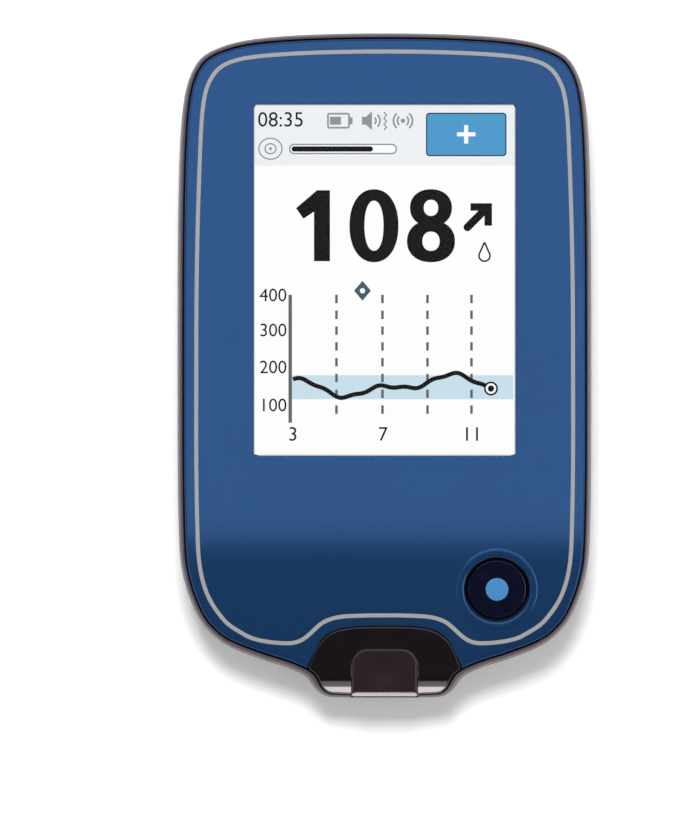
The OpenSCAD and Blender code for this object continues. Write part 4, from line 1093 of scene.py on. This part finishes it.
def lamp(name, place, target, size, radiance, colour=(1, 1, 1), onto=()):
    # An area lamp of the given radiance: its power is radiance times pi times its area.
    # Where onto names pieces, it lights those alone.
    data = bpy.data.lights.new(name, "AREA")
    data.shape, data.size, data.size_y = "RECTANGLE", size[0], size[1]
    data.energy, data.color = radiance * math.pi * size[0] * size[1], colour
    thing = bpy.data.objects.new(name, data)
    scene.collection.objects.link(thing)
    thing.location = place
    thing.rotation_euler = (Vector(target) - Vector(place)).to_track_quat("-Z", "Y").to_euler()
    if onto:
        lit = bpy.data.collections.new(name + "Pieces")
        for piece in onto:
            lit.objects.link(bpy.data.objects[piece])
        thing.light_linking.receiver_collection = lit


def mathNode(tree, operation, first, second):
    # One step of arithmetic on a socket and a number or another socket
    node = tree.nodes.new("ShaderNodeMath")
    node.operation = operation
    tree.links.new(first, node.inputs[0])
    if isinstance(second, float):
        node.inputs[1].default_value = second
    else:
        tree.links.new(second, node.inputs[1])
    return node.outputs["Value"]


def seenWhite(tree, amount):
    # amount where the camera looks, or looks through glass or at a reflection, and none elsewhere
    rays = tree.nodes.new("ShaderNodeLightPath").outputs
    seen = mathNode(tree, "MAXIMUM", rays["Is Camera Ray"], rays["Is Glossy Ray"])
    seen = mathNode(tree, "MAXIMUM", seen, rays["Is Transmission Ray"])
    return mathNode(tree, "MULTIPLY", seen, amount)


def buildStage():
    # A pale square floor just under the reader
    material = bpy.data.materials.new("paleFloor")
    material.use_nodes = True
    tree = material.node_tree
    shader = tree.nodes["Principled BSDF"]
    grain = tree.nodes.new("ShaderNodeTexNoise")
    ramp = tree.nodes.new("ShaderNodeValToRGB")
    for element, grey in zip(ramp.color_ramp.elements, studio["floorGrey"]):
        element.color = (grey, grey, grey, 1)
    tree.links.new(grain.outputs["Fac"], ramp.inputs["Fac"])
    tree.links.new(ramp.outputs["Color"], shader.inputs["Base Color"])
    tree.links.new(seenWhite(tree, studio["floorGlow"]), shader.inputs["Emission Strength"])
    shader.inputs["Emission Color"].default_value = (1, 1, 1, 1)
    shader.inputs["Roughness"].default_value = 0.9
    mesh = bpy.data.meshes.new("floor")
    far, z = studio["floorHalf"], studio["floorZ"]
    mesh.from_pydata([(-far, -far, z), (far, -far, z), (far, far, z), (-far, far, z)], [], [(0, 1, 2, 3)])
    mesh.materials.append(material)
    floor = bpy.data.objects.new("floor", mesh)
    scene.collection.objects.link(floor)


def buildWorld():
    # A grey sky that darkens with height, and white close above the horizon where it is looked at
    world = bpy.data.worlds.new("studio")
    scene.world = world
    world.use_nodes = True
    tree = world.node_tree
    place = tree.nodes.new("ShaderNodeTexCoord")
    parts = tree.nodes.new("ShaderNodeSeparateXYZ")
    sky = tree.nodes.new("ShaderNodeValToRGB")
    for element, at, colour in zip(sky.color_ramp.elements, studio["sky"], ("horizon", "zenith")):
        element.position, element.color = at, studio[colour]
    low = tree.nodes.new("ShaderNodeMapRange")
    low.inputs["From Min"].default_value, low.inputs["From Max"].default_value = studio["whiteBand"]
    low.inputs["To Min"].default_value, low.inputs["To Max"].default_value = 1, 0
    white = tree.nodes.new("ShaderNodeMix")
    white.data_type = "RGBA"
    white.inputs[7].default_value = (1, 1, 1, 1)
    tree.links.new(place.outputs["Generated"], parts.inputs["Vector"])
    tree.links.new(parts.outputs["Z"], sky.inputs["Fac"])
    tree.links.new(parts.outputs["Z"], low.inputs["Value"])
    tree.links.new(sky.outputs["Color"], white.inputs[6])
    tree.links.new(seenWhite(tree, low.outputs["Result"]), white.inputs[0])
    tree.links.new(white.outputs[2], tree.nodes["Background"].inputs["Color"])


def buildCamera():
    # Straight above, with the lens that takes in frameHeight at the aim's own height
    camera = bpy.data.objects.new("camera", bpy.data.cameras.new("camera"))
    scene.collection.objects.link(camera)
    scene.camera = camera
    x, y, z = studio["aim"]
    camera.location = [x * mm, y * mm, (z + studio["distance"]) * mm]
    camera.data.lens = camera.data.sensor_width * studio["distance"] / studio["frameHeight"]
    camera.data.clip_end = studio["farClip"]


buildStage()
buildWorld()
for name, values in lamps.items():
    lamp(name, *values)
bpy.data.objects["key"].visible_glossy = False  # it lights the reader but leaves no spot in the gloss
buildCamera()
scene.view_settings.view_transform = "Standard"
print("stage: lamps and camera set")
